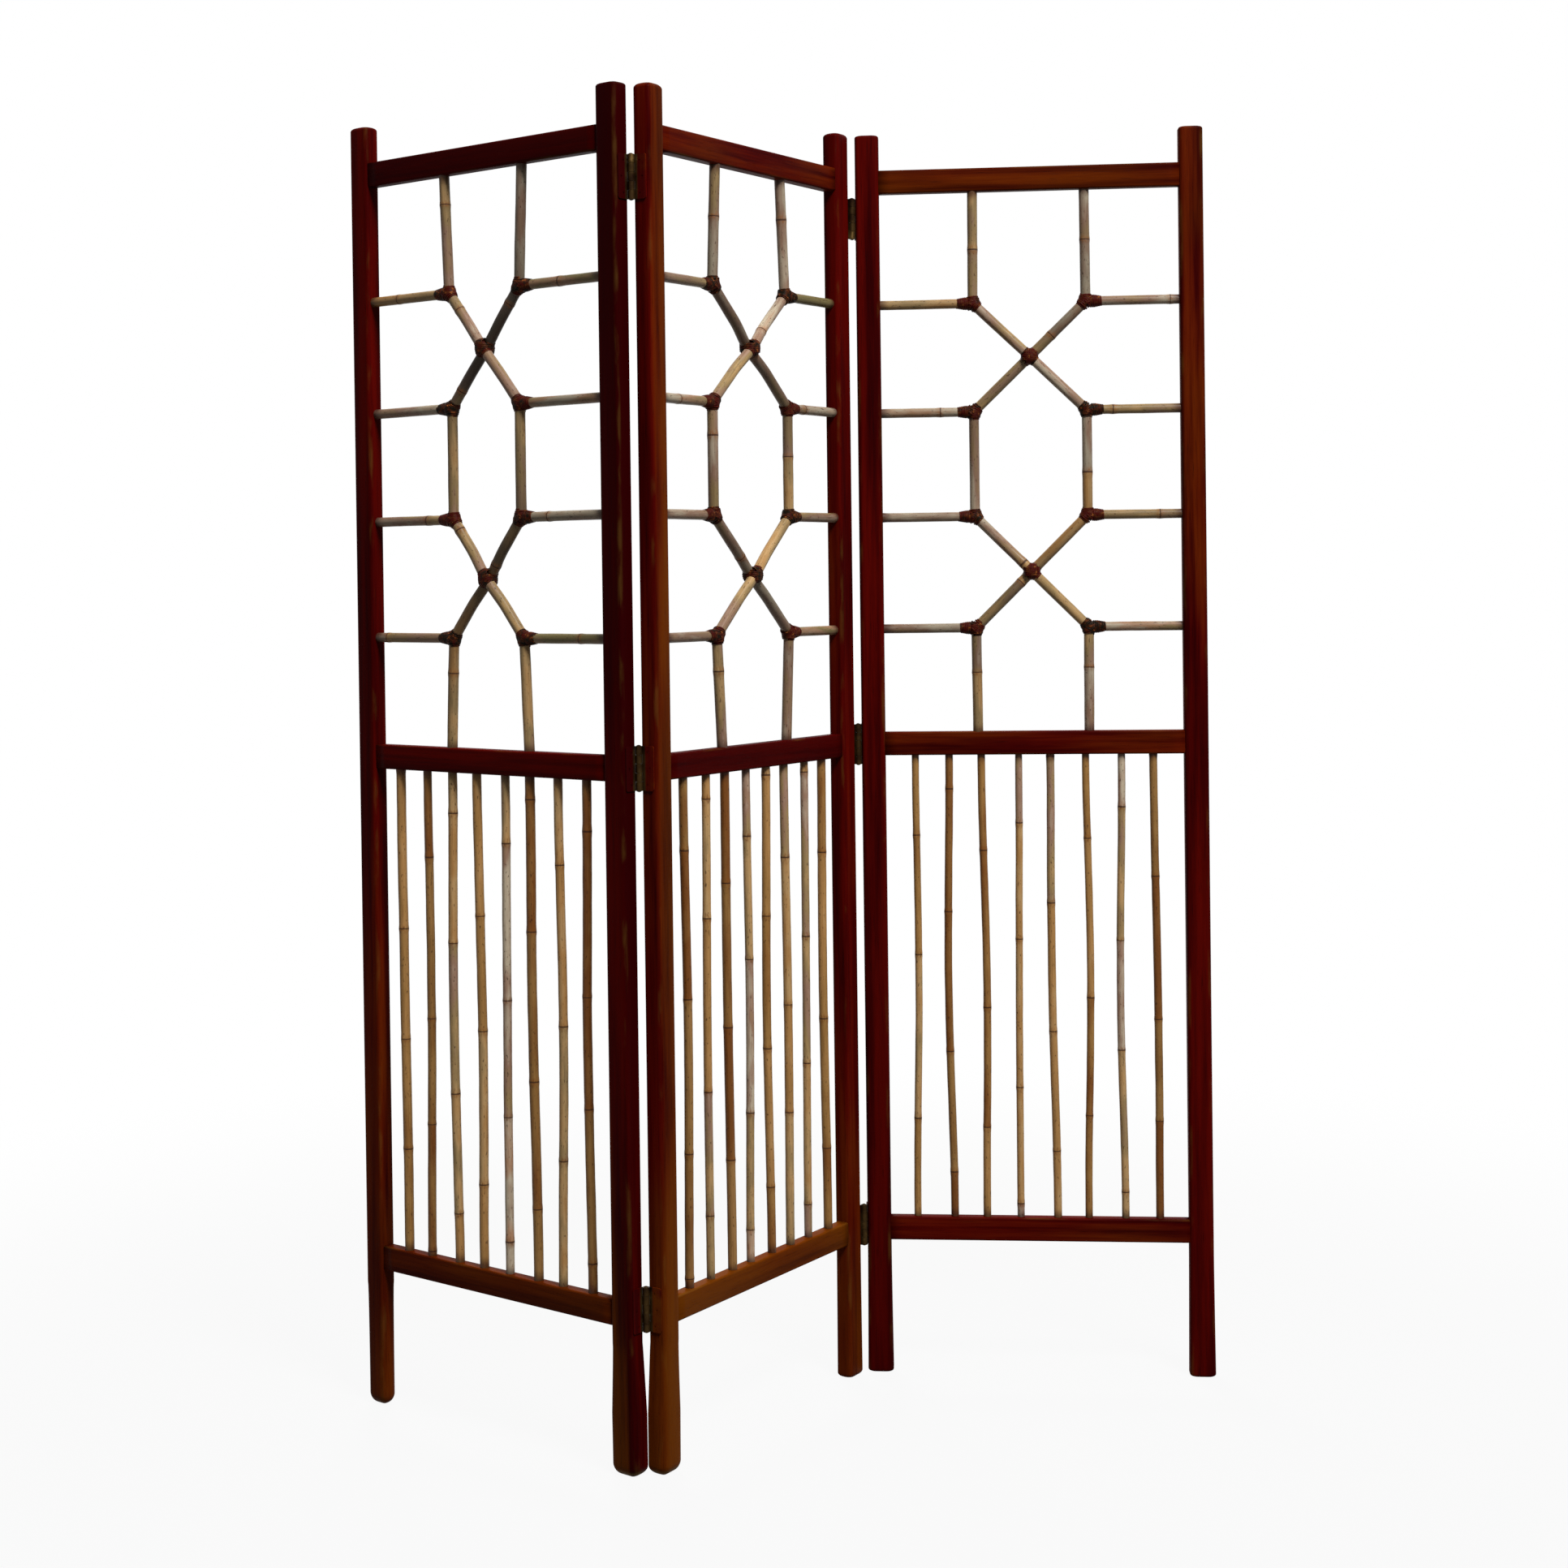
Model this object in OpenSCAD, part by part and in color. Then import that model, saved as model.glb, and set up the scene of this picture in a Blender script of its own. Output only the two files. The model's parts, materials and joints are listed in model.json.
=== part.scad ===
// Folding screen of three hinged panels. Each panel is a dark wooden frame of two stiles and
// three rails, with a lattice of bent cane above its middle rail and cane spindles below it.
// Millimetres, +Z up. The origin is on the floor, under the centre of the half-open screen.
// In a panel's own frame X runs across it from its left edge, and Y runs back from its front face.

/* [Screen] */
// Height of the stiles
height = 1800; // [1600:10:2000]
// Width of one panel over its stiles
panel_w = 498; // [460:1:560]
// Angle of the middle panel from the X axis, seen from above
middle_turn = 55.4; // [40:0.1:70]
// Fold between the left and the middle panel, 0 when they lie flat
left_fold = 95.2; // [40:0.1:140]
// Fold between the middle and the right panel, 0 when they lie flat
right_fold = 61.1; // [30:0.1:140]

/* [Stiles] */
// Width of a stile, across the panel
stile_w = 34.5; // [32:0.5:42]
// Depth of a stile, front to back
stile_d = 25; // [24:0.5:32]
// Radius of a stile's long edges
stile_edge_r = 6; // [2:0.5:7]
// How far each of the two feet at the left fold widens on its left and right, down to the floor
fold_flare = 4.5; // [0.5:0.5:4.5]
// How far every other foot widens on its left and right, down to the floor
far_flare = 1.5; // [0.5:0.5:4.5]
// Height at which a leg starts to widen
flare_h = 173; // [60:1:180]
// Rounding of the edges of the left panel's feet and of the one hinged to them
foot_round = 10; // [4:0.5:11]
// Rounding of the edges of the other feet
far_foot_round = 5; // [3:0.5:11]
// Rounding of the edges of a stile's top end
head_round = 4; // [2:0.5:6]

/* [Rails] */
// Height of each rail
rail_h = 34; // [30:1:44]
// Depth of each rail, front to back
rail_d = 19; // [18:0.5:22]
// Radius of a rail's long edges
rail_edge_r = 3; // [1:0.5:5]
// Rise of the stiles above the top rail
head_rise = 51; // [30:1:90]
// Clear height under the bottom rail
leg_h = 193; // [140:1:240]
// Clear height between the bottom and the middle rail
lower_h = 673; // [560:1:760]
// Height of a tenon
tenon_h = 22; // [16:1:26]
// Thickness of a tenon
tenon_t = 9; // [7:0.5:11]
// Wood left in the stile past the end of a tenon
tenon_wall = 17; // [16:0.5:20]

/* [Lattice canes] */
// Diameter of a bent cane
cane_d = 14.5; // [10:0.5:15]
// Diameter of a short side cane
side_cane_d = 13.5; // [9:0.5:14]
// Distance of each bent cane's centre line from the panel's middle plane
cane_offset = 1.2; // [0.4:0.1:1.4]
// Radius of a bend, at the centre of the cane
bend_r = 16; // [12:1:26]
// Depth of the blind hole that the end of a cane or a spindle seats in
seat_depth = 11; // [8:1:12]
// Distance between the bent canes at the rails, left panel
left_spread = 144; // [110:1:190]
// Distance between the bent canes at the rails, middle panel
middle_spread = 164; // [110:1:190]
// Distance between the bent canes at the rails, right panel
right_spread = 160; // [110:1:190]
// Distance between opposite bends, left panel
left_waist = 130; // [110:1:200]
// Distance between opposite bends, middle panel
middle_waist = 184; // [110:1:200]
// Distance between opposite bends, right panel
right_waist = 162; // [110:1:200]
// Drop from the top rail to the first row of bends
row_drop = 161; // [110:1:190]
// Rise from the middle rail to the last row of bends
row_rise = 150; // [110:1:190]
// Height of the third row of bends above even spacing
row_lift = 5; // [0:0.5:10]

/* [Spindles] */
// Number of spindles in a panel
spindle_count = 8; // [6:1:8]
// Diameter of a spindle, left panel
left_spindle_d = 12.5; // [8:0.5:13]
// Diameter of a spindle, middle panel
middle_spindle_d = 12; // [8:0.5:13]
// Diameter of a spindle, right panel
right_spindle_d = 11; // [8:0.5:13]
// Distance from one spindle to the next
spindle_pitch = 49.4; // [36:0.1:51]
// Largest sideways bow of a spindle
spindle_bow = 5; // [0.5:0.5:6]
// Largest shift of a spindle's seat from even spacing
spindle_wander = 2.5; // [0:0.5:4]

/* [Lashings] */
// Thickness of the peel bound round a joint
peel_t = 0.8; // [0.5:0.1:1.2]
// Width of one turn of peel
peel_w = 2.6; // [2:0.1:3]
// Number of turns on each arm of a joint
peel_turns = 2; // [1:1:3]
// How far the peel at a crossing reaches along each cane
cross_reach = 11; // [8:0.5:13]

/* [Hinges] */
// Length of a hinge
hinge_l = 58; // [46:1:70]
// Diameter of a hinge's knuckles
knuckle_d = 9; // [8:0.5:11]
// Thickness of a leaf
leaf_t = 1.6; // [1.2:0.1:2]
// Width of a leaf from the pin's centre line
leaf_w = 21; // [18:0.5:22]
// Radius of a leaf's free corners
leaf_corner_r = 3; // [1:0.5:4]
// How far the knuckles stand out past a leaf's outer face, as clearance from the wood
knuckle_inset = 0.3; // [0.2:0.1:0.6]
// Distance of the pin's centre line from the panel's face
pivot_out = 1; // [0.8:0.1:3]
// Diameter of a hinge pin
pin_d = 4; // [3:0.5:5]
// Diameter of the domed head at each end of a pin
pin_head_d = 7.4; // [5.6:0.2:7.8]
// Height of the domed head at each end of a pin
pin_head_h = 1.6; // [1:0.2:2.4]
// Drop from the top rail's underside to the centre of the top hinge
top_hinge_drop = 36; // [34:1:60]
// Rise of the bottom hinge's centre above the centre of the bottom rail
bottom_hinge_lift = 6; // [0:1:20]

/* [Screws] */
// Diameter of a screw's head
screw_head_d = 6; // [5:0.2:6.6]
// Diameter of a screw's shank
screw_d = 3; // [2.4:0.1:3.4]
// Width and depth of the cross cut in a screw's head
screw_cut = 0.8; // [0.6:0.1:1.1]
// Length of a screw in the wood
screw_l = 13; // [9:0.5:14.5]
// Distance between the outer screws of a leaf
screw_span = 42; // [34:1:46]
// Distance of the outer screws from the panel's face
screw_in = 10; // [9:0.5:11]
// How much deeper the middle screw sits than the outer two
screw_stagger = 4; // [2:0.5:5]

/* [Fits] */
// Clearance round tenons, canes and spindles in their seats
seat_gap = 0.15; // [0.1:0.05:0.3]
// Clearance between two canes where they cross or meet
lap_gap = 0.1; // [0.05:0.05:0.2]
// Clearance between a pin and its knuckles, on the radius
pin_gap = 0.05; // [0.03:0.01:0.08]
// Clearance between neighbouring knuckles
knuckle_gap = 0.4; // [0.3:0.1:0.6]

/* [Hidden] */
$fn = 48;
// Sides of a bent cane, and the largest turn between two of its cross sections
cane_sides = 14;
turn_step = 12;
// Sides of a spindle, and the number of steps along its bow
spindle_sides = 10;
bow_steps = 5;
// Angle between the points of a stile's rounded edges, the least flat between two of them, the
// steps and the curve of the flare, and what is cut off under a foot
arc_step = 30;
least_flat = 1;
flare_steps = 4;
flare_power = 1.2;
foot_trim = 1.5;
// Sides of the peel that is bound round a bend
wrap_sides = 96;

wood = [0.25, 0.07, 0.06];
cane = [0.70, 0.57, 0.40];
peel = [0.24, 0.12, 0.08];
iron = [0.22, 0.16, 0.13];

// Panels, edges and faces by number
LEFT = 0;
MIDDLE = 1;
RIGHT = 2;
FRONT = 0;
BACK = 1;

// Heights, from the floor
bottom_rail_z = leg_h;
middle_rail_z = leg_h + rail_h + lower_h;
top_rail_z = height - head_rise - rail_h;
lattice_foot = middle_rail_z + rail_h;
row_pitch = (top_rail_z - lattice_foot - row_drop - row_rise) / 3;
hinge_z = [
    bottom_rail_z + rail_h / 2 + bottom_hinge_lift,
    middle_rail_z + rail_h / 2,
    top_rail_z - top_hinge_drop
];

// Across a panel
mid_x = panel_w / 2;
cane_r = cane_d / 2;
side_cane_r = side_cane_d / 2;
spindle_r = [left_spindle_d / 2, middle_spindle_d / 2, right_spindle_d / 2];
tenon_l = stile_w - tenon_wall;
// How far a tenon runs back into its rail
tenon_root = 1;
spread = [left_spread, middle_spread, right_spread];
waist = [left_waist, middle_waist, right_waist];

// Hinges
knuckle_r = knuckle_d / 2;
hinge_gap = knuckle_d + 2 * knuckle_inset;
knuckle_l = (hinge_l - 4 * knuckle_gap) / 5;
screw_r = screw_d / 2;
screw_spots = [
    [screw_in, -screw_span / 2],
    [screw_in + screw_stagger, 0],
    [screw_in, screw_span / 2]
];

// Plan of the half-open screen. The left fold's axis is the starting point, and the panels
// follow from it, each turned by its own angle.
function turned(a, p) = [p.x * cos(a) - p.y * sin(a), p.x * sin(a) + p.y * cos(a)];
panel_angle = [middle_turn - left_fold, middle_turn, middle_turn - right_fold];
left_corner = turned(panel_angle[LEFT], [-hinge_gap / 2 - panel_w, -pivot_out - stile_d]);
middle_corner = turned(panel_angle[MIDDLE], [hinge_gap / 2, -pivot_out - stile_d]);
right_axis = middle_corner + turned(panel_angle[MIDDLE], [panel_w + hinge_gap / 2, -pivot_out]);
right_corner = right_axis + turned(panel_angle[RIGHT], [hinge_gap / 2, pivot_out]);
panel_corner = [left_corner, middle_corner, right_corner];

// Whether a stile is one of the two at the left fold
function at_left_fold(p, edge) = p == LEFT && edge == RIGHT || p == MIDDLE && edge == LEFT;
function flare_at(p, edge) = at_left_fold(p, edge) ? fold_flare : far_flare;
function foot_round_at(p, edge) = p == LEFT || at_left_fold(p, edge) ? foot_round : far_foot_round;

// The origin is under the middle of the box round the feet
foot_arcs = [
    for (p = [LEFT, MIDDLE, RIGHT], edge = [LEFT, RIGHT], y = [stile_edge_r, stile_d - stile_edge_r])
        let (out = flare_at(p, edge) - stile_edge_r)
            panel_corner[p] + turned(panel_angle[p], [edge == LEFT ? -out : panel_w + out, y])
];
low_x = min([for (c = foot_arcs) c.x]) - stile_edge_r;
high_x = max([for (c = foot_arcs) c.x]) + stile_edge_r;
low_y = min([for (c = foot_arcs) c.y]) - stile_edge_r;
high_y = max([for (c = foot_arcs) c.y]) + stile_edge_r;
plan_centre = [(low_x + high_x) / 2, (low_y + high_y) / 2];

// Puts a panel's own frame where the panel stands
module in_panel(p) {
    at = panel_corner[p] - plan_centre;
    translate([at.x, at.y, 0]) rotate([0, 0, panel_angle[p]]) children();
}

// Lays a drawing in X and Y upright in the panel's middle plane, with +Z towards the front
module in_middle_plane() {
    translate([0, stile_d / 2, 0]) rotate([90, 0, 0]) children();
}

// Puts a hinge drawn for a left edge and a front face at hinge number i of an edge and a face
module at_hinge(edge, face, i) {
    x = edge == RIGHT ? panel_w + hinge_gap / 2 : -hinge_gap / 2;
    y = face == BACK ? stile_d + pivot_out : -pivot_out;
    translate([x, y, hinge_z[i]])
        rotate([face == BACK ? 180 : 0, edge == RIGHT ? 180 : 0, 0]) children();
}

// Rectangle with round corners, from the origin
module round_rect(w, h, r) {
    translate([r, 0]) square([w - 2 * r, h]);
    translate([0, r]) square([w, h - 2 * r]);
    for (x = [r, w - r], y = [r, h - r]) translate([x, y]) circle(r = r);
}

// Closed solid over a row of rings, each with as many points and seen counterclockwise from the
// side of the last one
module skin(rings) {
    n = len(rings[0]);
    last = len(rings) - 1;
    walls = [
        for (j = [0:last - 1], k = [0:n - 1])
            let (a = j * n + k, b = j * n + (k + 1) % n)
                each [[a, a + n, b], [b, a + n, b + n]]
    ];
    start = [for (k = [0:n - 1]) k];
    end = [for (k = [n - 1:-1:0]) last * n + k];
    polyhedron([for (ring = rings, point = ring) point], concat([start], walls, [end]));
}

// Round bar of radius r with n sides, through sections that each hold a place in X and Y and the
// angle of the bar there
module bar(sections, r, n) {
    skin([
        for (s = sections)
            [
                for (k = [0:n - 1])
                    let (a = 360 * k / n)
                        [s[0].x - r * cos(a) * sin(s[1]), s[0].y + r * cos(a) * cos(s[1]), r * sin(a)]
            ]
    ]);
}

// Stiles

// Quarter of a circle of radius r round a centre, from an angle on, at height z
function quarter_arc(centre, r, from, z) =
    [for (a = [from:arc_step:from + 90]) [centre.x + r * cos(a), centre.y + r * sin(a), z]];

// Outline of a stile at height z, wider by flare on its left and right, and inset all round. Its
// corners grow rounder with the inset, so that the ends are domed.
function stile_ring(z, flare, inset) =
    let (
        r = min(stile_edge_r + inset / 2, (stile_d - least_flat) / 2 - inset),
        low = [inset - flare + r, inset + r],
        high = [stile_w + flare - inset - r, stile_d - inset - r]
    )
        concat(
            quarter_arc(high, r, 0, z),
            quarter_arc([low.x, high.y], r, 90, z),
            quarter_arc(low, r, 180, z),
            quarter_arc([high.x, low.y], r, 270, z)
        );

// Rings of a stile from below the floor to its head: rounded foot, flare and rounded head
function stile_rings(flare, foot) = concat(
    [stile_ring(-foot_trim, flare, foot)],
    [
        for (a = [arc_step:arc_step:90])
            stile_ring(foot * (1 - cos(a)), flare, foot * (1 - sin(a)))
    ],
    [
        for (k = [1:flare_steps])
            let (s = k / flare_steps)
                stile_ring(foot + (flare_h - foot) * s, flare * (1 - s) ^ flare_power, 0)
    ],
    [
        for (a = [0:arc_step:90])
            stile_ring(height - head_round * (1 - sin(a)), 0, head_round * (1 - cos(a)))
    ]
);

// Stile before its joints are cut, with its foot trimmed flat on the floor
module stile_blank(p, edge) {
    difference() {
        skin(stile_rings(flare_at(p, edge), foot_round_at(p, edge)));
        translate([-stile_w, -stile_d, -2 * foot_trim])
            cube([3 * stile_w, 3 * stile_d, 2 * foot_trim]);
    }
}

// Stile at an edge, LEFT or RIGHT, with hinges on a face, or on none with face < 0
module stile(p, edge, face) {
    color(wood) difference() {
        translate([edge == RIGHT ? panel_w - stile_w : 0, 0, 0]) stile_blank(p, edge);
        for (z = [bottom_rail_z, middle_rail_z, top_rail_z]) tenon(z, edge, seat_gap);
        in_middle_plane() for (row = [0:3]) side_cane_bar(p, edge, row, seat_gap);
        if (face >= 0)
            for (i = [0:2]) at_hinge(edge, face, i) screws(seat_gap);
    }
}

// Rails

// Tenon of the rail at height z into the stile at an edge, grown by gap for the mortise
module tenon(z, edge, gap) {
    x = edge == RIGHT ? panel_w - stile_w - tenon_root : stile_w - tenon_l - gap;
    translate([x, (stile_d - tenon_t) / 2 - gap, z + (rail_h - tenon_h) / 2 - gap])
        cube([tenon_l + tenon_root + gap, tenon_t + 2 * gap, tenon_h + 2 * gap]);
}

// Rail with its underside at height z, before its seats are drilled
module rail_blank(z) {
    translate([stile_w, (stile_d - rail_d) / 2, z])
        rotate([90, 0, 90])
            linear_extrude(panel_w - 2 * stile_w) round_rect(rail_d, rail_h, rail_edge_r);
    tenon(z, LEFT, 0);
    tenon(z, RIGHT, 0);
}

module top_rail(p) {
    color(wood) difference() {
        rail_blank(top_rail_z);
        in_middle_plane() for (side = [-1, 1]) cane_seat(p, side, 0);
    }
}

module middle_rail(p) {
    color(wood) difference() {
        rail_blank(middle_rail_z);
        in_middle_plane() for (side = [-1, 1]) cane_seat(p, side, 1);
        spindle_seats(p, 1);
    }
}

module bottom_rail(p) {
    color(wood) difference() {
        rail_blank(bottom_rail_z);
        spindle_seats(p, 0);
    }
}

// Canes

function heading(pts, i) = (pts[i + 1] - pts[i]) / norm(pts[i + 1] - pts[i]);
function turn_at(pts, i) =
    atan2(cross(heading(pts, i - 1), heading(pts, i)), heading(pts, i - 1) * heading(pts, i));
// How far before a point its bend begins
function setback(pts, i, bend) =
    i == 0 || i == len(pts) - 1 ? 0 : bend * tan(abs(turn_at(pts, i)) / 2);

// Cross sections along a bar through points in X and Y: the place and the heading of each
function bend_sections(pts, i, bend) =
    let (
        h = heading(pts, i - 1),
        turn = turn_at(pts, i),
        way = turn < 0 ? -1 : 1,
        centre = pts[i] - h * setback(pts, i, bend) + way * bend * [-h.y, h.x],
        steps = max(2, ceil(abs(turn) / turn_step))
    )
        [
            for (k = [0:steps])
                let (a = atan2(h.y, h.x) + turn * k / steps)
                    [centre + way * bend * [sin(a), -cos(a)], a]
        ];
function bar_sections(pts, bend) =
    let (last = len(pts) - 1, first = heading(pts, 0), final = heading(pts, last - 1))
        [
            [pts[0], atan2(first.y, first.x)],
            for (i = [1:last - 1], section = bend_sections(pts, i, bend)) section,
            [pts[last], atan2(final.y, final.x)]
        ];

// Height of a row of bends, counted from the top
function row_z(row) = top_rail_z - row_drop - row * row_pitch + (row == 2 ? row_lift : 0);
// Side on which a bent cane passes a row: it starts at its own side and crosses over twice
function row_side(side, row) = row == 1 || row == 2 ? -side : side;
function row_point(p, side, row) = [mid_x + row_side(side, row) * waist[p] / 2, row_z(row)];
function cane_points(p, side) = [
    [mid_x + side * spread[p] / 2, top_rail_z + seat_depth],
    for (row = [0:3]) row_point(p, side, row),
    [mid_x + side * spread[p] / 2, lattice_foot - seat_depth]
];
// The cane that starts on the left runs a little nearer the front than the other
function cane_layer(side) = -side * cane_offset;

// Blind hole for an end of a bent cane: 0 its top end, 1 its foot
module cane_seat(p, side, end) {
    pts = cane_points(p, side);
    tip = end == 0 ? pts[0] : pts[5];
    into = end == 0 ? heading(pts, 0) : -heading(pts, 4);
    translate([tip.x, tip.y, cane_layer(side)]) rotate([0, 0, atan2(into.y, into.x)])
        translate([-seat_gap, 0, 0]) rotate([0, 90, 0])
            cylinder(r = cane_r + seat_gap, h = seat_depth + cane_r);
}

// Centre of a crossing: 0 the upper one, 1 the lower one
function crossing(i) = [mid_x, (row_z(2 * i) + row_z(2 * i + 1)) / 2];
// Direction of a bent cane where it passes a crossing
function crossing_angle(p, side, i) =
    let (a = row_point(p, side, 2 * i), b = row_point(p, side, 2 * i + 1))
        atan2(b.y - a.y, b.x - a.x);

// Side from which the cane comes that passes in front at a crossing: the canes that slope down
// to the right do in the outer panels, and those that slope down to the left in the middle one
function front_side(p, i) = (i == 0 ? -1 : 1) * (p == MIDDLE ? -1 : 1);

// Flat cut across one cane that takes half of the other where they cross
module lap_cut(p, side, i) {
    half = cane_r + lap_gap;
    reach = 2 * cane_d;
    translate(crossing(i)) rotate([0, 0, crossing_angle(p, -side, i)])
        translate([-reach, -half, side == front_side(p, i) ? lap_gap / 2 - cane_d : -lap_gap / 2])
            cube([2 * reach, 2 * half, cane_d]);
}

module bent_cane(p, side) {
    color(cane) in_middle_plane() difference() {
        translate([0, 0, cane_layer(side)])
            bar(bar_sections(cane_points(p, side), bend_r), cane_r, cane_sides);
        for (i = [0, 1]) lap_cut(p, side, i);
    }
}

// Bent cane that passes a row on an edge's side
function meeting_side(edge, row) = row_side(edge == RIGHT ? 1 : -1, row);

// Straight bar from a stile to the bend at a row, grown by gap for its seat
module side_cane_bar(p, edge, row, gap) {
    side = meeting_side(edge, row);
    bend = row_point(p, side, row);
    seat = edge == RIGHT ? panel_w - stile_w + seat_depth + gap : stile_w - seat_depth - gap;
    translate([min(seat, bend.x), bend.y, cane_layer(side)])
        rotate([0, 90, 0]) cylinder(r = side_cane_r + gap, h = abs(seat - bend.x));
}

// The four side canes at an edge, each with its end hollowed to fit the cane that it meets
module side_canes(p, edge) {
    r = cane_r + peel_t + 2 * lap_gap;
    color(cane) in_middle_plane() for (row = [0:3]) {
        side = meeting_side(edge, row);
        pts = cane_points(p, side);
        difference() {
            side_cane_bar(p, edge, row, 0);
            translate([pts[row + 1].x, pts[row + 1].y, cane_layer(side)])
                for (way = [-heading(pts, row), heading(pts, row + 1)])
                    rotate([0, 0, atan2(way.y, way.x)])
                        translate([-setback(pts, row + 1, r) - peel_t, 0, 0]) rotate([0, 90, 0])
                            cylinder(r = r, h = 3 * cane_d);
        }
    }
}

// Spindles

// A share from -1 to 1 of its own for each spindle of each panel, as no two canes are alike
function own_share(p, i, kind) = sin(137.5 * (i + 1) + 70 * p + 110 * kind);
// Place across the panel of a spindle's seat: end 0 in the bottom rail, 1 in the middle rail
function spindle_x(p, i, end) =
    mid_x + (i - (spindle_count - 1) / 2) * spindle_pitch + spindle_wander * own_share(p, i, end);
function spindle_sections(p, i) =
    let (
        x0 = spindle_x(p, i, 0),
        lean = spindle_x(p, i, 1) - x0,
        bow = spindle_bow * own_share(p, i, 2),
        z = bottom_rail_z + rail_h
    )
        [
            [[x0, z - seat_depth], 90],
            for (s = [0:1 / bow_steps:1])
                [
                    [x0 + lean * (3 - 2 * s) * s ^ 2 + bow * (1 - cos(360 * s)) / 2, z + lower_h * s],
                    90 - atan((6 * lean * s * (1 - s) + bow * PI * sin(360 * s)) / lower_h)
                ],
            [[x0 + lean, z + lower_h + seat_depth], 90]
        ];

// Blind holes for the spindles' ends: 0 in the bottom rail, 1 in the middle rail
module spindle_seats(p, end) {
    z = end == 0 ? bottom_rail_z + rail_h - seat_depth : middle_rail_z;
    for (i = [0:spindle_count - 1])
        translate([spindle_x(p, i, end), stile_d / 2, z - seat_gap])
            cylinder(r = spindle_r[p] + seat_gap, h = seat_depth + 2 * seat_gap);
}

module spindles(p) {
    color(cane) in_middle_plane() for (i = [0:spindle_count - 1])
        bar(spindle_sections(p, i), spindle_r[p], spindle_sides);
}

// Lashings

// How far the rounded back of a turn of peel stands out from the bar under it
peel_back = peel_w / 2;

// Collar of peel on a bar of radius r, from a distance start along +X, with a ridge for each turn
module collar(start, r) {
    length = peel_turns * peel_w;
    translate([start, 0, 0]) rotate([0, 90, 0]) rotate_extrude() difference() {
        union() {
            translate([r, 0]) square([peel_t, length]);
            for (i = [0:peel_turns - 1])
                translate([r, (i + 0.5) * peel_w]) circle(r = peel_back - lap_gap / 2);
        }
        square([r, length]);
    }
}

// Peel bound round the joint of a bent cane and a side cane: a sleeve round the bend, with a
// collar on each arm
module joint_lashing(p, edge, row) {
    side = meeting_side(edge, row);
    pts = cane_points(p, side);
    at = pts[row + 1];
    h = heading(pts, row);
    turn = turn_at(pts, row + 1);
    way = turn < 0 ? -1 : 1;
    back = setback(pts, row + 1, bend_r);
    centre = at - h * back + way * bend_r * [-h.y, h.x];
    start = atan2(-way * h.x, way * h.y) - (way < 0 ? -turn : 0);
    r = cane_r + lap_gap;
    translate([0, 0, cane_layer(side)]) {
        translate(centre) rotate([0, 0, start]) rotate_extrude(angle = abs(turn), $fn = wrap_sides)
            translate([bend_r, 0]) difference() {
                circle(r = r + peel_t);
                circle(r = r);
            }
        for (a = [180, turn])
            translate(at) rotate([0, 0, atan2(h.y, h.x) + a]) collar(max(back, side_cane_r) + lap_gap, r);
        translate(at) rotate([0, 0, edge == RIGHT ? 0 : 180])
            collar(r + peel_back + peel_t, side_cane_r + lap_gap);
    }
}

module joint_lashings(p) {
    color(peel) in_middle_plane() for (edge = [LEFT, RIGHT], row = [0:3]) joint_lashing(p, edge, row);
}

// Peel bound round the two canes at a crossing
module cross_lashing(p, i) {
    r = cane_r + lap_gap;
    difference() {
        for (side = [-1, 1])
            translate([crossing(i).x, crossing(i).y, cane_layer(side)])
                rotate([0, 0, crossing_angle(p, side, i)]) rotate([0, 90, 0])
                    cylinder(r = r + peel_t, h = 2 * cross_reach, center = true);
        for (side = [-1, 1])
            translate([crossing(i).x, crossing(i).y, cane_layer(side)])
                rotate([0, 0, crossing_angle(p, side, i)]) rotate([0, 90, 0])
                    cylinder(r = r, h = 3 * cross_reach, center = true);
    }
}

module cross_lashings(p) {
    color(peel) in_middle_plane() for (i = [0, 1]) cross_lashing(p, i);
}

// Hinges. In a hinge's own frame the pin is on the Z axis, the wood lies on the side of +X,
// and the panel's face looks towards -Y.

function knuckle_z(i) = i * (knuckle_l + knuckle_gap) - hinge_l / 2;

module leaf_plate() {
    r = leaf_corner_r;
    translate([hinge_gap / 2 - leaf_t, 0, 0]) rotate([90, 0, 90]) linear_extrude(leaf_t) {
        translate([0, -hinge_l / 2]) square([leaf_w - r, hinge_l]);
        translate([0, r - hinge_l / 2]) square([leaf_w, hinge_l - 2 * r]);
        for (z = [-1, 1]) translate([leaf_w - r, z * (hinge_l / 2 - r)]) circle(r = r);
    }
}

// Leaf with its own knuckles, cut clear of the other leaf's
module hinge_leaf(own, other) {
    color(iron) difference() {
        union() {
            leaf_plate();
            for (i = own) translate([0, 0, knuckle_z(i)]) cylinder(r = knuckle_r, h = knuckle_l);
        }
        translate([0, 0, -hinge_l]) cylinder(r = pin_d / 2 + pin_gap, h = 2 * hinge_l);
        for (i = other)
            translate([0, 0, knuckle_z(i) - knuckle_gap])
                cylinder(r = knuckle_r + knuckle_gap, h = knuckle_l + 2 * knuckle_gap);
        screws(lap_gap);
    }
}

module outer_leaf() {
    hinge_leaf([0, 2, 4], [1, 3]);
}

module inner_leaf() {
    hinge_leaf([1, 3], [0, 2, 4]);
}

// Pin with a domed head at each end
module hinge_pin() {
    head_r = pin_head_d / 2;
    dome_r = 1.2 * head_r;
    color(iron) {
        cylinder(r = pin_d / 2, h = hinge_l, center = true);
        for (end = [0, 180]) rotate([end, 0, 0])
            translate([0, 0, hinge_l / 2]) rotate_extrude() intersection() {
                square([head_r, pin_head_h]);
                translate([0, pin_head_h - dome_r]) circle(r = dome_r);
            }
    }
}

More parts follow.
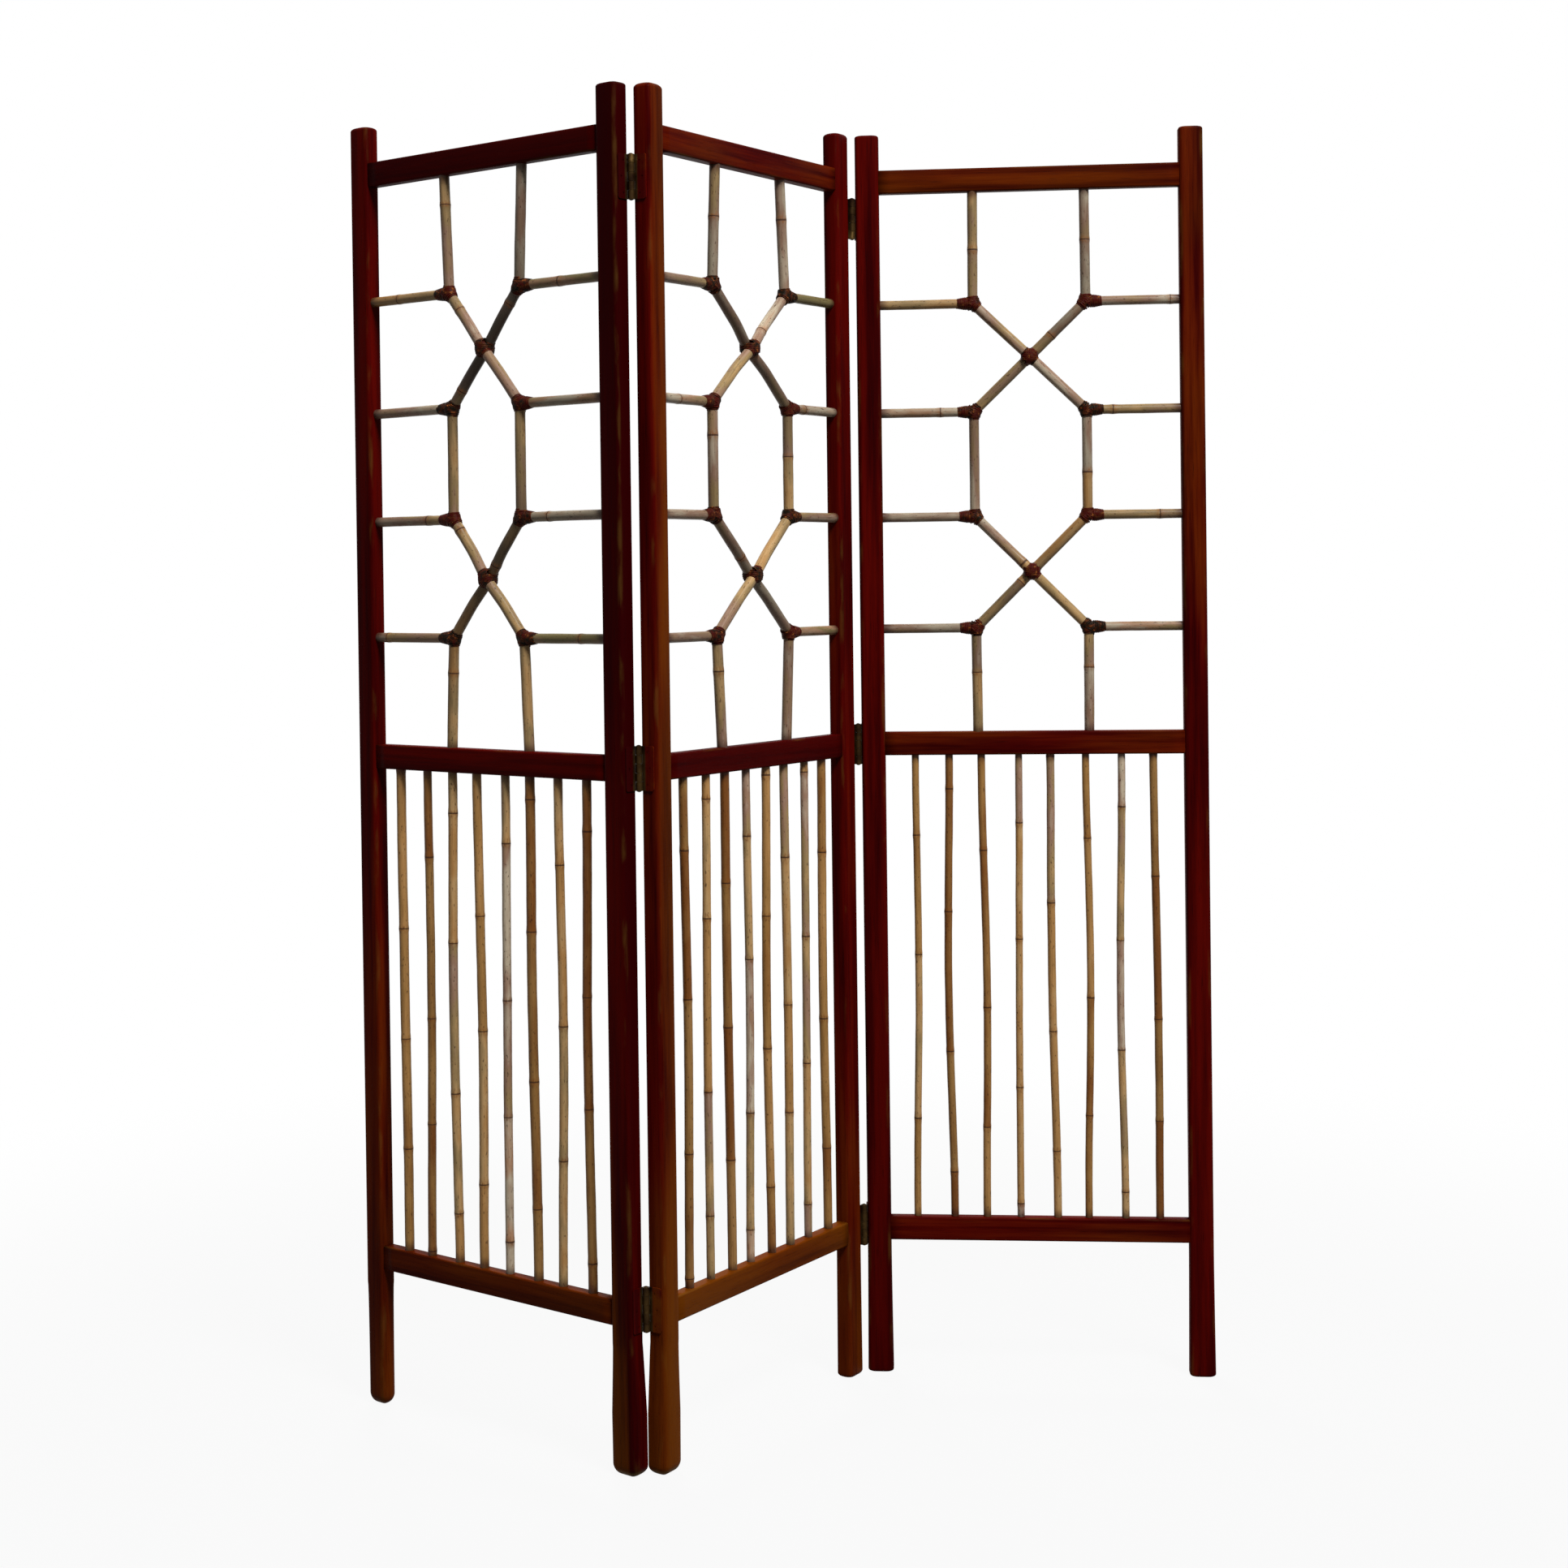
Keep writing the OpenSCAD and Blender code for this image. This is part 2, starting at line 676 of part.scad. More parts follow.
// Countersunk screws of one leaf, grown by gap for their holes
module screws(gap) {
    for (spot = screw_spots)
        translate([hinge_gap / 2 - leaf_t, pivot_out + spot[0], spot[1]]) rotate([0, 90, 0]) {
            cylinder(r1 = screw_head_d / 2 + gap, r2 = screw_r + gap, h = leaf_t);
            cylinder(r = screw_r + gap, h = leaf_t + screw_l + gap);
        }
}

// Screws of the three hinges on one edge and face, each with a cross cut in its head
module hinge_screws(edge, face) {
    color(iron) for (i = [0:2]) at_hinge(edge, face, i) difference() {
        screws(0);
        for (spot = screw_spots, a = [0, 90])
            translate([hinge_gap / 2 - leaf_t, pivot_out + spot[0], spot[1]]) rotate([a, 0, 0])
                cube([2 * screw_cut, screw_cut, 0.6 * screw_head_d], center = true);
    }
}

in_panel(LEFT) stile(LEFT, LEFT, -1);  // left_outer_stile
in_panel(LEFT) stile(LEFT, RIGHT, BACK);  // left_inner_stile
in_panel(LEFT) top_rail(LEFT);  // left_top_rail
in_panel(LEFT) middle_rail(LEFT);  // left_middle_rail
in_panel(LEFT) bottom_rail(LEFT);  // left_bottom_rail
in_panel(LEFT) bent_cane(LEFT, -1);  // left_front_cane
in_panel(LEFT) bent_cane(LEFT, 1);  // left_rear_cane
in_panel(LEFT) side_canes(LEFT, LEFT);  // left_outer_side_canes
in_panel(LEFT) side_canes(LEFT, RIGHT);  // left_inner_side_canes
in_panel(LEFT) spindles(LEFT);  // left_spindles
in_panel(LEFT) joint_lashings(LEFT);  // left_joint_lashings
in_panel(LEFT) cross_lashings(LEFT);  // left_cross_lashings

in_panel(MIDDLE) stile(MIDDLE, LEFT, BACK);  // middle_left_stile
in_panel(MIDDLE) stile(MIDDLE, RIGHT, FRONT);  // middle_right_stile
in_panel(MIDDLE) top_rail(MIDDLE);  // middle_top_rail
in_panel(MIDDLE) middle_rail(MIDDLE);  // middle_middle_rail
in_panel(MIDDLE) bottom_rail(MIDDLE);  // middle_bottom_rail
in_panel(MIDDLE) bent_cane(MIDDLE, -1);  // middle_front_cane
in_panel(MIDDLE) bent_cane(MIDDLE, 1);  // middle_rear_cane
in_panel(MIDDLE) side_canes(MIDDLE, LEFT);  // middle_left_side_canes
in_panel(MIDDLE) side_canes(MIDDLE, RIGHT);  // middle_right_side_canes
in_panel(MIDDLE) spindles(MIDDLE);  // middle_spindles
in_panel(MIDDLE) joint_lashings(MIDDLE);  // middle_joint_lashings
in_panel(MIDDLE) cross_lashings(MIDDLE);  // middle_cross_lashings

in_panel(RIGHT) stile(RIGHT, LEFT, FRONT);  // right_inner_stile
in_panel(RIGHT) stile(RIGHT, RIGHT, -1);  // right_outer_stile
in_panel(RIGHT) top_rail(RIGHT);  // right_top_rail
in_panel(RIGHT) middle_rail(RIGHT);  // right_middle_rail
in_panel(RIGHT) bottom_rail(RIGHT);  // right_bottom_rail
in_panel(RIGHT) bent_cane(RIGHT, -1);  // right_front_cane
in_panel(RIGHT) bent_cane(RIGHT, 1);  // right_rear_cane
in_panel(RIGHT) side_canes(RIGHT, LEFT);  // right_inner_side_canes
in_panel(RIGHT) side_canes(RIGHT, RIGHT);  // right_outer_side_canes
in_panel(RIGHT) spindles(RIGHT);  // right_spindles
in_panel(RIGHT) joint_lashings(RIGHT);  // right_joint_lashings
in_panel(RIGHT) cross_lashings(RIGHT);  // right_cross_lashings

// Hinges of the left fold, on the backs of the panels
in_panel(MIDDLE) at_hinge(LEFT, BACK, 2) outer_leaf();  // left_top_hinge_outer_leaf
in_panel(LEFT) at_hinge(RIGHT, BACK, 2) inner_leaf();  // left_top_hinge_inner_leaf
in_panel(MIDDLE) at_hinge(LEFT, BACK, 2) hinge_pin();  // left_top_hinge_pin
in_panel(MIDDLE) at_hinge(LEFT, BACK, 1) outer_leaf();  // left_middle_hinge_outer_leaf
in_panel(LEFT) at_hinge(RIGHT, BACK, 1) inner_leaf();  // left_middle_hinge_inner_leaf
in_panel(MIDDLE) at_hinge(LEFT, BACK, 1) hinge_pin();  // left_middle_hinge_pin
in_panel(MIDDLE) at_hinge(LEFT, BACK, 0) outer_leaf();  // left_bottom_hinge_outer_leaf
in_panel(LEFT) at_hinge(RIGHT, BACK, 0) inner_leaf();  // left_bottom_hinge_inner_leaf
in_panel(MIDDLE) at_hinge(LEFT, BACK, 0) hinge_pin();  // left_bottom_hinge_pin

// Hinges of the right fold, on the fronts of the panels
in_panel(MIDDLE) at_hinge(RIGHT, FRONT, 2) outer_leaf();  // right_top_hinge_outer_leaf
in_panel(RIGHT) at_hinge(LEFT, FRONT, 2) inner_leaf();  // right_top_hinge_inner_leaf
in_panel(MIDDLE) at_hinge(RIGHT, FRONT, 2) hinge_pin();  // right_top_hinge_pin
in_panel(MIDDLE) at_hinge(RIGHT, FRONT, 1) outer_leaf();  // right_middle_hinge_outer_leaf
in_panel(RIGHT) at_hinge(LEFT, FRONT, 1) inner_leaf();  // right_middle_hinge_inner_leaf
in_panel(MIDDLE) at_hinge(RIGHT, FRONT, 1) hinge_pin();  // right_middle_hinge_pin
in_panel(MIDDLE) at_hinge(RIGHT, FRONT, 0) outer_leaf();  // right_bottom_hinge_outer_leaf
in_panel(RIGHT) at_hinge(LEFT, FRONT, 0) inner_leaf();  // right_bottom_hinge_inner_leaf
in_panel(MIDDLE) at_hinge(RIGHT, FRONT, 0) hinge_pin();  // right_bottom_hinge_pin

in_panel(LEFT) hinge_screws(RIGHT, BACK);  // left_panel_screws
in_panel(MIDDLE) hinge_screws(LEFT, BACK);  // middle_left_screws
in_panel(MIDDLE) hinge_screws(RIGHT, FRONT);  // middle_right_screws
in_panel(RIGHT) hinge_screws(LEFT, FRONT);  // right_panel_screws
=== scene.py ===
import json
from math import cos, pi, radians, sin

import bpy
from mathutils import Matrix, Vector


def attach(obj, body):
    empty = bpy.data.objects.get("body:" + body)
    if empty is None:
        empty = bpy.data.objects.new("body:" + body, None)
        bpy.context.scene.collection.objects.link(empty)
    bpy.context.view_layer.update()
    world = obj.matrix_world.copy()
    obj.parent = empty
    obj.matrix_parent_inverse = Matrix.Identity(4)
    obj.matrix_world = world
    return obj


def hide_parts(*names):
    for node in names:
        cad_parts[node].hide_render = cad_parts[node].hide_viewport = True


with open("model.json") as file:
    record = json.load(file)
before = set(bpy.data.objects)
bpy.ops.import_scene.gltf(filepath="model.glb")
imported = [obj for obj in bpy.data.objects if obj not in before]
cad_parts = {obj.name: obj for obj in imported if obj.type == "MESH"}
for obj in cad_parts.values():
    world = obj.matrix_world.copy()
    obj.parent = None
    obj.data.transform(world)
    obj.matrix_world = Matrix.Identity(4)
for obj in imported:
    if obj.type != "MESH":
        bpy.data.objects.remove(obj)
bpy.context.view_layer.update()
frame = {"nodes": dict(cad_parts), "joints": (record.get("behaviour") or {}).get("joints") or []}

scene = bpy.context.scene
mm = 0.001

# Where the panels stand. In a panel's own frame X runs across it from its left edge and
# Y runs back from its front face.

screen = {
    "height": 1800 * mm,
    "panelWidth": 498 * mm,
    "postWidth": 34.5 * mm,
    "postDepth": 25 * mm,
    "hingeGap": 9.6 * mm,  # between two posts at a fold
    "pivotOut": 1 * mm,  # a fold's axis, from the faces of its panels
    "angles": {"left": -39.8, "middle": 55.4, "right": -5.7},
    "railHeights": {"bottom": 193 * mm, "middle": 900 * mm, "top": 1715 * mm},  # undersides
    "atLeftFold": (("left", "inner"), ("middle", "left")),  # the posts there
}

folds = {joint["name"]: Vector(joint["pos_m"]) for joint in frame["joints"]}


def placePanel(panel):
    turn = Matrix.Rotation(radians(screen["angles"][panel]), 4, "Z")
    halfGap = screen["hingeGap"] / 2
    backFold = -screen["pivotOut"] - screen["postDepth"]
    if panel == "left":
        start, fold = Vector((-halfGap - screen["panelWidth"], backFold, 0)), folds["fold_left"]
    elif panel == "middle":
        start, fold = Vector((halfGap, backFold, 0)), folds["fold_left"]
    else:
        start, fold = Vector((halfGap, screen["pivotOut"], 0)), folds["fold_right"]
    return Matrix.Translation(Vector((fold.x, fold.y, 0)) + turn @ start) @ turn


places = {panel: placePanel(panel) for panel in screen["angles"]}
bodyOf = {panel: panel + "_panel" for panel in places}
midX = screen["panelWidth"] / 2
midY = screen["postDepth"] / 2


class Wire:  # an output socket that can stand in a sum
    def __init__(self, socket):
        self.socket = socket

    @staticmethod
    def node(tree, kind, settings=None, inputs=None, output=0):
        made = tree.nodes.new(kind)
        for name, value in (settings or {}).items():
            if name == "stops":
                stops = made.color_ramp.elements
                stops[0].position, stops[0].color = value[0]
                stops[1].position, stops[1].color = value[-1]
                for place, colour in value[1:-1]:
                    stops.new(place).color = colour
            else:
                setattr(made, name, value)
        for name, value in (inputs or {}).items():
            if isinstance(value, Wire):
                tree.links.new(value.socket, made.inputs[name])
            else:
                made.inputs[name].default_value = value
        return Wire(made.outputs[output]) if made.outputs else made

    def math(self, operation, *others, swap=False):
        parts = [self, *others]
        if swap:
            parts.reverse()
        inVectors = any(isinstance(part, Wire) and part.socket.type == "VECTOR" for part in parts)
        if inVectors:
            parts = [part if isinstance(part, Wire) else [part] * 3 for part in parts]
        kind = "ShaderNodeVectorMath" if inVectors else "ShaderNodeMath"
        inputs = dict(enumerate(parts))
        return Wire.node(self.socket.id_data, kind, {"operation": operation}, inputs)

    def __add__(self, other):
        return self.math("ADD", other)

    def __sub__(self, other):
        return self.math("SUBTRACT", other)

    def __mul__(self, other):
        return self.math("MULTIPLY", other)

    def __truediv__(self, other):
        return self.math("DIVIDE", other)

    def __rsub__(self, other):
        return self.math("SUBTRACT", other, swap=True)

    def __rtruediv__(self, other):
        return self.math("DIVIDE", other, swap=True)

    __radd__ = __add__
    __rmul__ = __mul__


def fade(wire, low, high):  # 0 below low, 1 above high, smooth between them
    return Wire.node(
        wire.socket.id_data, "ShaderNodeMapRange", {"interpolation_type": "SMOOTHSTEP"},
        {"Value": wire, "From Min": low, "From Max": high},
    )


def onVectors(operation, first, second=(0, 0, 0), output=0):
    return Wire.node(
        first.socket.id_data, "ShaderNodeVectorMath", {"operation": operation},
        {0: first, 1: second}, output,
    )


def stretch(vector, *factors):
    return onVectors("MULTIPLY", vector, factors)


def noise(vector, scale=1.0, detail=2.0, roughness=0.5):
    return Wire.node(
        vector.socket.id_data, "ShaderNodeTexNoise", None,
        {"Vector": vector, "Scale": scale, "Detail": detail, "Roughness": roughness},
    )


def blendColours(factor, first, second, how="MIX"):
    return Wire.node(
        factor.socket.id_data, "ShaderNodeMix", {"data_type": "RGBA", "blend_type": how},
        {0: factor, 6: first, 7: second}, output=2,
    )


def bumpFrom(height, strength, distance):
    return Wire.node(
        height.socket.id_data, "ShaderNodeBump", None,
        {"Strength": strength, "Distance": distance, "Height": height},
    )


def attribute(tree, name, output="Fac"):
    return Wire.node(tree, "ShaderNodeAttribute", {"attribute_name": name}, output=output)


def objectPlace(tree):
    return Wire.node(tree, "ShaderNodeTexCoord", output="Object")


def rgb(*parts):  # a colour as it looks on a screen, 0 to 255
    shares = [part / 255 for part in parts]
    light = [((part + 0.055) / 1.055) ** 2.4 if part > 0.04 else part / 12.92 for part in shares]
    return light + [1.0]


def newFinish(name, **constants):
    material = bpy.data.materials.new(name)
    material.use_nodes = True
    surface = material.node_tree.nodes["Principled BSDF"]
    for socket, value in constants.items():
        surface.inputs[socket.replace("_", " ")].default_value = value
    return material, material.node_tree, surface


def dress(surface, **wires):
    for socket, wire in wires.items():
        surface.id_data.links.new(wire.socket, surface.inputs[socket.replace("_", " ")])


# Varnished wood of the posts and rails. The sizes of its patterns are across, across and along
# the grain, per metre.

woodLook = {
    # deep, red and brown are the varnish's own colours and also painted light and shade: a piece's
    # tone picks brown where it is painted as lit and deep where it is painted as shaded
    "deep": rgb(40, 0, 1),
    "red": rgb(82, 6, 2),
    "brown": rgb(98, 48, 4),
    "worn": rgb(112, 84, 34),
    "olive": rgb(104, 82, 44),  # bare wood at the ends of the feet
    "pore": rgb(16, 2, 2),
    "gloss": 0.012,
    "streaks": (55, 55, 2.2),
    "clouds": (9, 9, 3),
    "rubs": (60, 60, 14),
    "pores": (900, 900, 30),
    "rubbed": 0.22,  # how far the worn colour goes
    "footWear": 3,  # how much more the ends of the feet at the left fold are rubbed
    "grainStep": (0.731, 0.377, 1.913),  # in the timber, from one piece to the next
    "bump": (0.35, 0.6 * mm),
}


def woodStreaks(place):
    return noise(stretch(place, *woodLook["streaks"]), detail=5.0, roughness=0.62)


# tone carries painted light and shade besides the varnish's own tone: high tone is painted light
# (brown), low tone painted shade (near black)
def varnishColour(tone, cloud, streaks):
    redness = fade(streaks, 0.3, 0.7) * fade(tone, -1.0, 0.1)
    deepToRed = blendColours(redness, woodLook["deep"], woodLook["red"])
    brownness = fade(tone + (cloud - 0.5) * 0.8 + (streaks - 0.5) * 0.9, 0.2, 1.0)
    return blendColours(brownness, deepToRed, woodLook["brown"])


def woodFinish():
    material, tree, surface = newFinish("frameWood", Specular_IOR_Level=woodLook["gloss"])
    grain = attribute(tree, "grain", "Vector")
    edge, tone = attribute(tree, "edge"), attribute(tree, "tone")
    streaks = woodStreaks(grain)
    cloud = noise(stretch(grain, *woodLook["clouds"]))
    rubs = noise(stretch(grain, *woodLook["rubs"]), detail=4.0)
    poreDepth = fade(noise(stretch(grain, *woodLook["pores"])), 0.58, 0.76)
    colour = varnishColour(tone, cloud, streaks)
    rubbed = edge * fade(rubs, 0.5, 0.72)
    colour = blendColours(rubbed * woodLook["rubbed"], colour, woodLook["worn"])
    atEnds = fade(edge, 1.0, woodLook["footWear"])
    colour = blendColours(atEnds * (0.35 + cloud * 0.3), colour, woodLook["olive"])
    colour = blendColours(poreDepth * 0.5, colour, woodLook["pore"])
    dress(
        surface,
        Base_Color=colour,
        Roughness=0.5 - fade(cloud, 0.3, 0.7) * 0.14 + poreDepth * 0.12,
        Normal=bumpFrom(streaks * 0.6 - poreDepth * 0.5, *woodLook["bump"]),
    )
    return material


# Rattan of the canes and spindles

caneLook = {
    "rust": rgb(118, 70, 26),
    "honey": rgb(148, 110, 60),
    "tan": rgb(166, 124, 74),
    "straw": rgb(176, 142, 96),
    "pink": rgb(172, 132, 102),
    "gold": rgb(146, 122, 82),
    "mauve": rgb(146, 114, 94),
    # silver is partly the rattan's own grey and partly painted sheen of its varnish, for the
    # lattice canes
    "silver": rgb(184, 170, 146),
    "olive": rgb(136, 122, 76),
    # dark colour that the shade attribute mixes in: painted shade on the lattice, and the own
    # darker colour of the rusty spindles
    "smoked": rgb(30, 25, 17),
    "ring": rgb(44, 20, 10),
    "stain": rgb(50, 14, 8),  # of the frame, run into the ends, and painted shadow where the ends meet the rails and posts
    "row": {  # the colours from one end of the range to the other, and where each stands
        0.0: "rust", 0.22: "honey", 0.4: "tan", 0.5: "straw", 0.58: "gold",
        0.68: "mauve", 0.8: "silver", 0.9: "pink", 1.0: "olive",
    },
    "gloss": 0.14,
    "patches": (40, 40, 11),
    "fibres": (1100, 1100, 22),
    "flecks": (420, 420, 170),
    "ringWidth": 1.1 * mm,
    "stainLength": 16 * mm,
    "bump": (0.4, 0.5 * mm),
}


def caneFinish():
    material, tree, surface = newFinish("caneSkin", Specular_IOR_Level=caneLook["gloss"])
    grain = attribute(tree, "grain", "Vector")
    knots, hue, shade = (attribute(tree, name) for name in ("knots", "hueOf", "shadeOf"))
    spacing, fromEnd = attribute(tree, "spacing"), attribute(tree, "fromEnd")
    patches = noise(stretch(grain, *caneLook["patches"]), detail=3.0, roughness=0.6)
    fibres = noise(stretch(grain, *caneLook["fibres"]))
    flecks = noise(stretch(grain, *caneLook["flecks"]))
    flecked = fade(flecks, 0.62, 0.72)
    ownLength = Wire.node(  # 0 to 1, its own for each length between two knots
        tree, "ShaderNodeTexWhiteNoise", {"noise_dimensions": "1D"},
        {"W": (knots + 0.5).math("FLOOR") + 0.31}, output="Value",
    )
    shades = Wire.node(
        tree, "ShaderNodeValToRGB",
        {"stops": [(place, caneLook[name]) for place, name in caneLook["row"].items()]},
        {"Fac": hue * 0.75 + fade(patches, 0.25, 0.75) * 0.25 + (ownLength - 0.5) * 0.3},
    )
    colour = blendColours(fade(fibres, 0.45, 0.7) * 0.3, shades, caneLook["rust"], "MULTIPLY")
    # painted shade: shadeOf darkens whole stretches of cane towards the dark colour; on the rusty
    # spindles it is their own darker colour
    darkness = shade * (0.55 + patches * 0.4 + ownLength * 0.5)
    colour = blendColours(darkness.math("MINIMUM", 1.0), colour, caneLook["smoked"])
    colour = blendColours(flecked * 0.7, colour, caneLook["ring"])
    width, stain = caneLook["ringWidth"], caneLook["stainLength"]
    fromRing = (knots.math("FRACT") - 0.5).math("ABSOLUTE") * spacing
    ring = 1 - fade(fromRing, width * 0.4, width * 1.3)
    halo = 1 - fade(fromRing, width, width * 9)
    colour = blendColours(halo * fade(flecks, 0.35, 0.6) * 0.6, colour, caneLook["rust"])
    colour = blendColours(ring * 0.85, colour, caneLook["ring"])
    # the ends beside the frame darker: the frame's stain, and painted shadow of the rails over the
    # spindle tops
    stainedAndShaded = 1 - fade(fromEnd + (patches - 0.5) * stain, 0.0, stain)
    colour = blendColours(stainedAndShaded * 0.8, colour, caneLook["stain"])
    dress(
        surface,
        Base_Color=colour,
        Roughness=0.34 + fade(patches, 0.3, 0.7) * 0.12 + ring * 0.2,
        Normal=bumpFrom(fibres * 0.4 - ring * 0.8 - flecked * 0.3, *caneLook["bump"]),
    )
    return material


# Peel of the lashings

peelLook = {
    "soot": rgb(20, 15, 7),
    "wine": rgb(62, 12, 7),
    "brown": rgb(72, 34, 15),
    "lit": rgb(146, 82, 36),
    "gloss": 0.04,
    "patches": 95.0,
    "spots": 190.0,
    "fibres": (1800, 1800, 60),
    "bump": (0.35, 0.4 * mm),
}


def peelFinish():
    material, tree, surface = newFinish("peelWrap", Specular_IOR_Level=peelLook["gloss"])
    grain, hue = attribute(tree, "grain", "Vector"), attribute(tree, "hueOf")
    place = objectPlace(tree)
    patches = noise(place, peelLook["patches"], 3.0)
    spots = noise(stretch(place, 1, 1, 1.2) + 3.7, peelLook["spots"])
    fibres = noise(stretch(grain, *peelLook["fibres"]))
    reddened = fade(patches + (hue - 0.5) * 0.3, 0.36, 0.58)
    colour = blendColours(reddened, peelLook["soot"], peelLook["wine"])
    colour = blendColours(fade(spots, 0.42, 0.62) * 0.8, colour, peelLook["brown"])
    colour = blendColours(fade(spots, 0.62, 0.74) * 0.8, colour, peelLook["lit"])
    colour = blendColours(fade(fibres, 0.5, 0.68) * 0.5, colour, peelLook["soot"])
    dress(
        surface,
        Base_Color=colour,
        Roughness=0.36 + fade(patches, 0.3, 0.7) * 0.18,
        Normal=bumpFrom(fibres, *peelLook["bump"]),
    )
    return material


# Metal of the hinges. It is bare round a fold's axis, and beyond that the leaves are varnished
# as the posts that they lie on, with their painted light and shade.

metalLook = {
    "dark": rgb(30, 16, 8),
    "bronze": rgb(58, 42, 20),
    "rubbed": rgb(104, 82, 46),
    "gloss": 0.03,
    "bare": (7 * mm, 9.8 * mm),  # from the axis, where the varnish begins and where it is full
    "clouds": 45.0,
    "specks": 900.0,
    "bump": (0.2, 0.3 * mm),
}


def metalFinish(name, browns):
    material, tree, surface = newFinish(name, Specular_IOR_Level=metalLook["gloss"])
    place = objectPlace(tree)
    flat = stretch(place, 1, 1, 0)
    first, second = (
        onVectors("DISTANCE", flat, (axis.x, axis.y, 0), output="Value") for axis in folds.values()
    )
    varnished = fade(first.math("MINIMUM", second), *metalLook["bare"])
    height = onVectors("DOT_PRODUCT", place, (0, 0, 1), output="Value")
    levels = [
        (k / (len(browns) - 1), [(brown + 1) / 2] * 3 + [1.0]) for k, brown in enumerate(browns)
    ]
    tone = Wire.node(
        tree, "ShaderNodeValToRGB", {"stops": levels}, {"Fac": height / screen["height"]}
    )
    streaks = woodStreaks(place)
    clouds = noise(place, metalLook["clouds"], 3.0, 0.55)
    specks = noise(place, metalLook["specks"])
    colour = blendColours(fade(clouds, 0.32, 0.68), metalLook["dark"], metalLook["bronze"])
    worn = fade(clouds + specks * 0.2, 0.74, 0.9)
    colour = blendColours(worn, colour, metalLook["rubbed"])
    colour = blendColours(varnished, colour, varnishColour(tone * 2 - 1, clouds, streaks))
    dress(
        surface,
        Base_Color=colour,
        Roughness=0.38 + fade(clouds, 0.35, 0.65) * 0.14 + fade(specks, 0.5, 0.7) * 0.08,
        Metallic=(0.5 + worn * 0.3) * (1 - varnished),
        Normal=bumpFrom(specks * 0.4 + clouds, *metalLook["bump"]),
    )
    return material


frameWood, caneSkin, peelWrap = woodFinish(), caneFinish(), peelFinish()
print("finishes made")


def addObject(name, data):
    made = bpy.data.objects.new(name, data)
    scene.collection.objects.link(made)
    return made


def storeValues(mesh, name, values, kind="FLOAT"):
    field = "value" if kind == "FLOAT" else "vector"
    mesh.attributes.new(name, kind, "POINT").data.foreach_set(field, values)


def ridePanel(piece, panel, slot, *nodes):
    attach(piece, bodyOf[panel])
    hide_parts(*nodes)


def quarterArc(centreX, centreY, radius, start, steps):
    points = []
    for k in range(steps + 1):
        angle = start + pi / 2 * k / steps
        x, y = centreX + radius * cos(angle), centreY + radius * sin(angle)
        points.append((x, y, sin(pi * k / steps)))
    return points


def roundOutline(lowX, highX, lowY, highY, radii, steps):  # radii from the back right corner on
    backRight, backLeft, frontLeft, frontRight = radii
    return (
        quarterArc(highX - backRight, highY - backRight, backRight, 0, steps)
        + quarterArc(lowX + backLeft, highY - backLeft, backLeft, pi / 2, steps)
        + quarterArc(lowX + frontLeft, lowY + frontLeft, frontLeft, pi, steps)
        + quarterArc(highX - frontRight, lowY + frontRight, frontRight, 3 * pi / 2, steps)
    )


def loftPiece(name, rings, toPanel, panel, tone, seed):
    # rings: lists of (point in the loft's own frame, edge), counterclockwise seen from the last
    count, last = len(rings[0]), len(rings) - 1
    points = [point for ring in rings for point, _ in ring]
    faces = []
    for j in range(last):
        low, high = j * count, (j + 1) * count
        for k in range(count):
            after = (k + 1) % count
            faces.append((low + k, low + after, high + after, high + k))
    faces.append(tuple(range(count - 1, -1, -1)))
    faces.append(tuple(last * count + k for k in range(count)))
    mesh = bpy.data.meshes.new(name)
    mesh.from_pydata([toPanel @ Vector(point) for point in points], [], faces)
    mesh.polygons.foreach_set("use_smooth", [True] * (len(faces) - 2) + [False, False])
    shift = Vector([seed * step for step in woodLook["grainStep"]])
    grain = [part for point in points for part in Vector(point) + shift]
    storeValues(mesh, "grain", grain, "FLOAT_VECTOR")
    storeValues(mesh, "edge", [edge for ring in rings for _, edge in ring])
    storeValues(mesh, "tone", [tone(point) for point in points])
    mesh.materials.append(frameWood)
    mesh.transform(places[panel])
    return addObject(name, mesh)


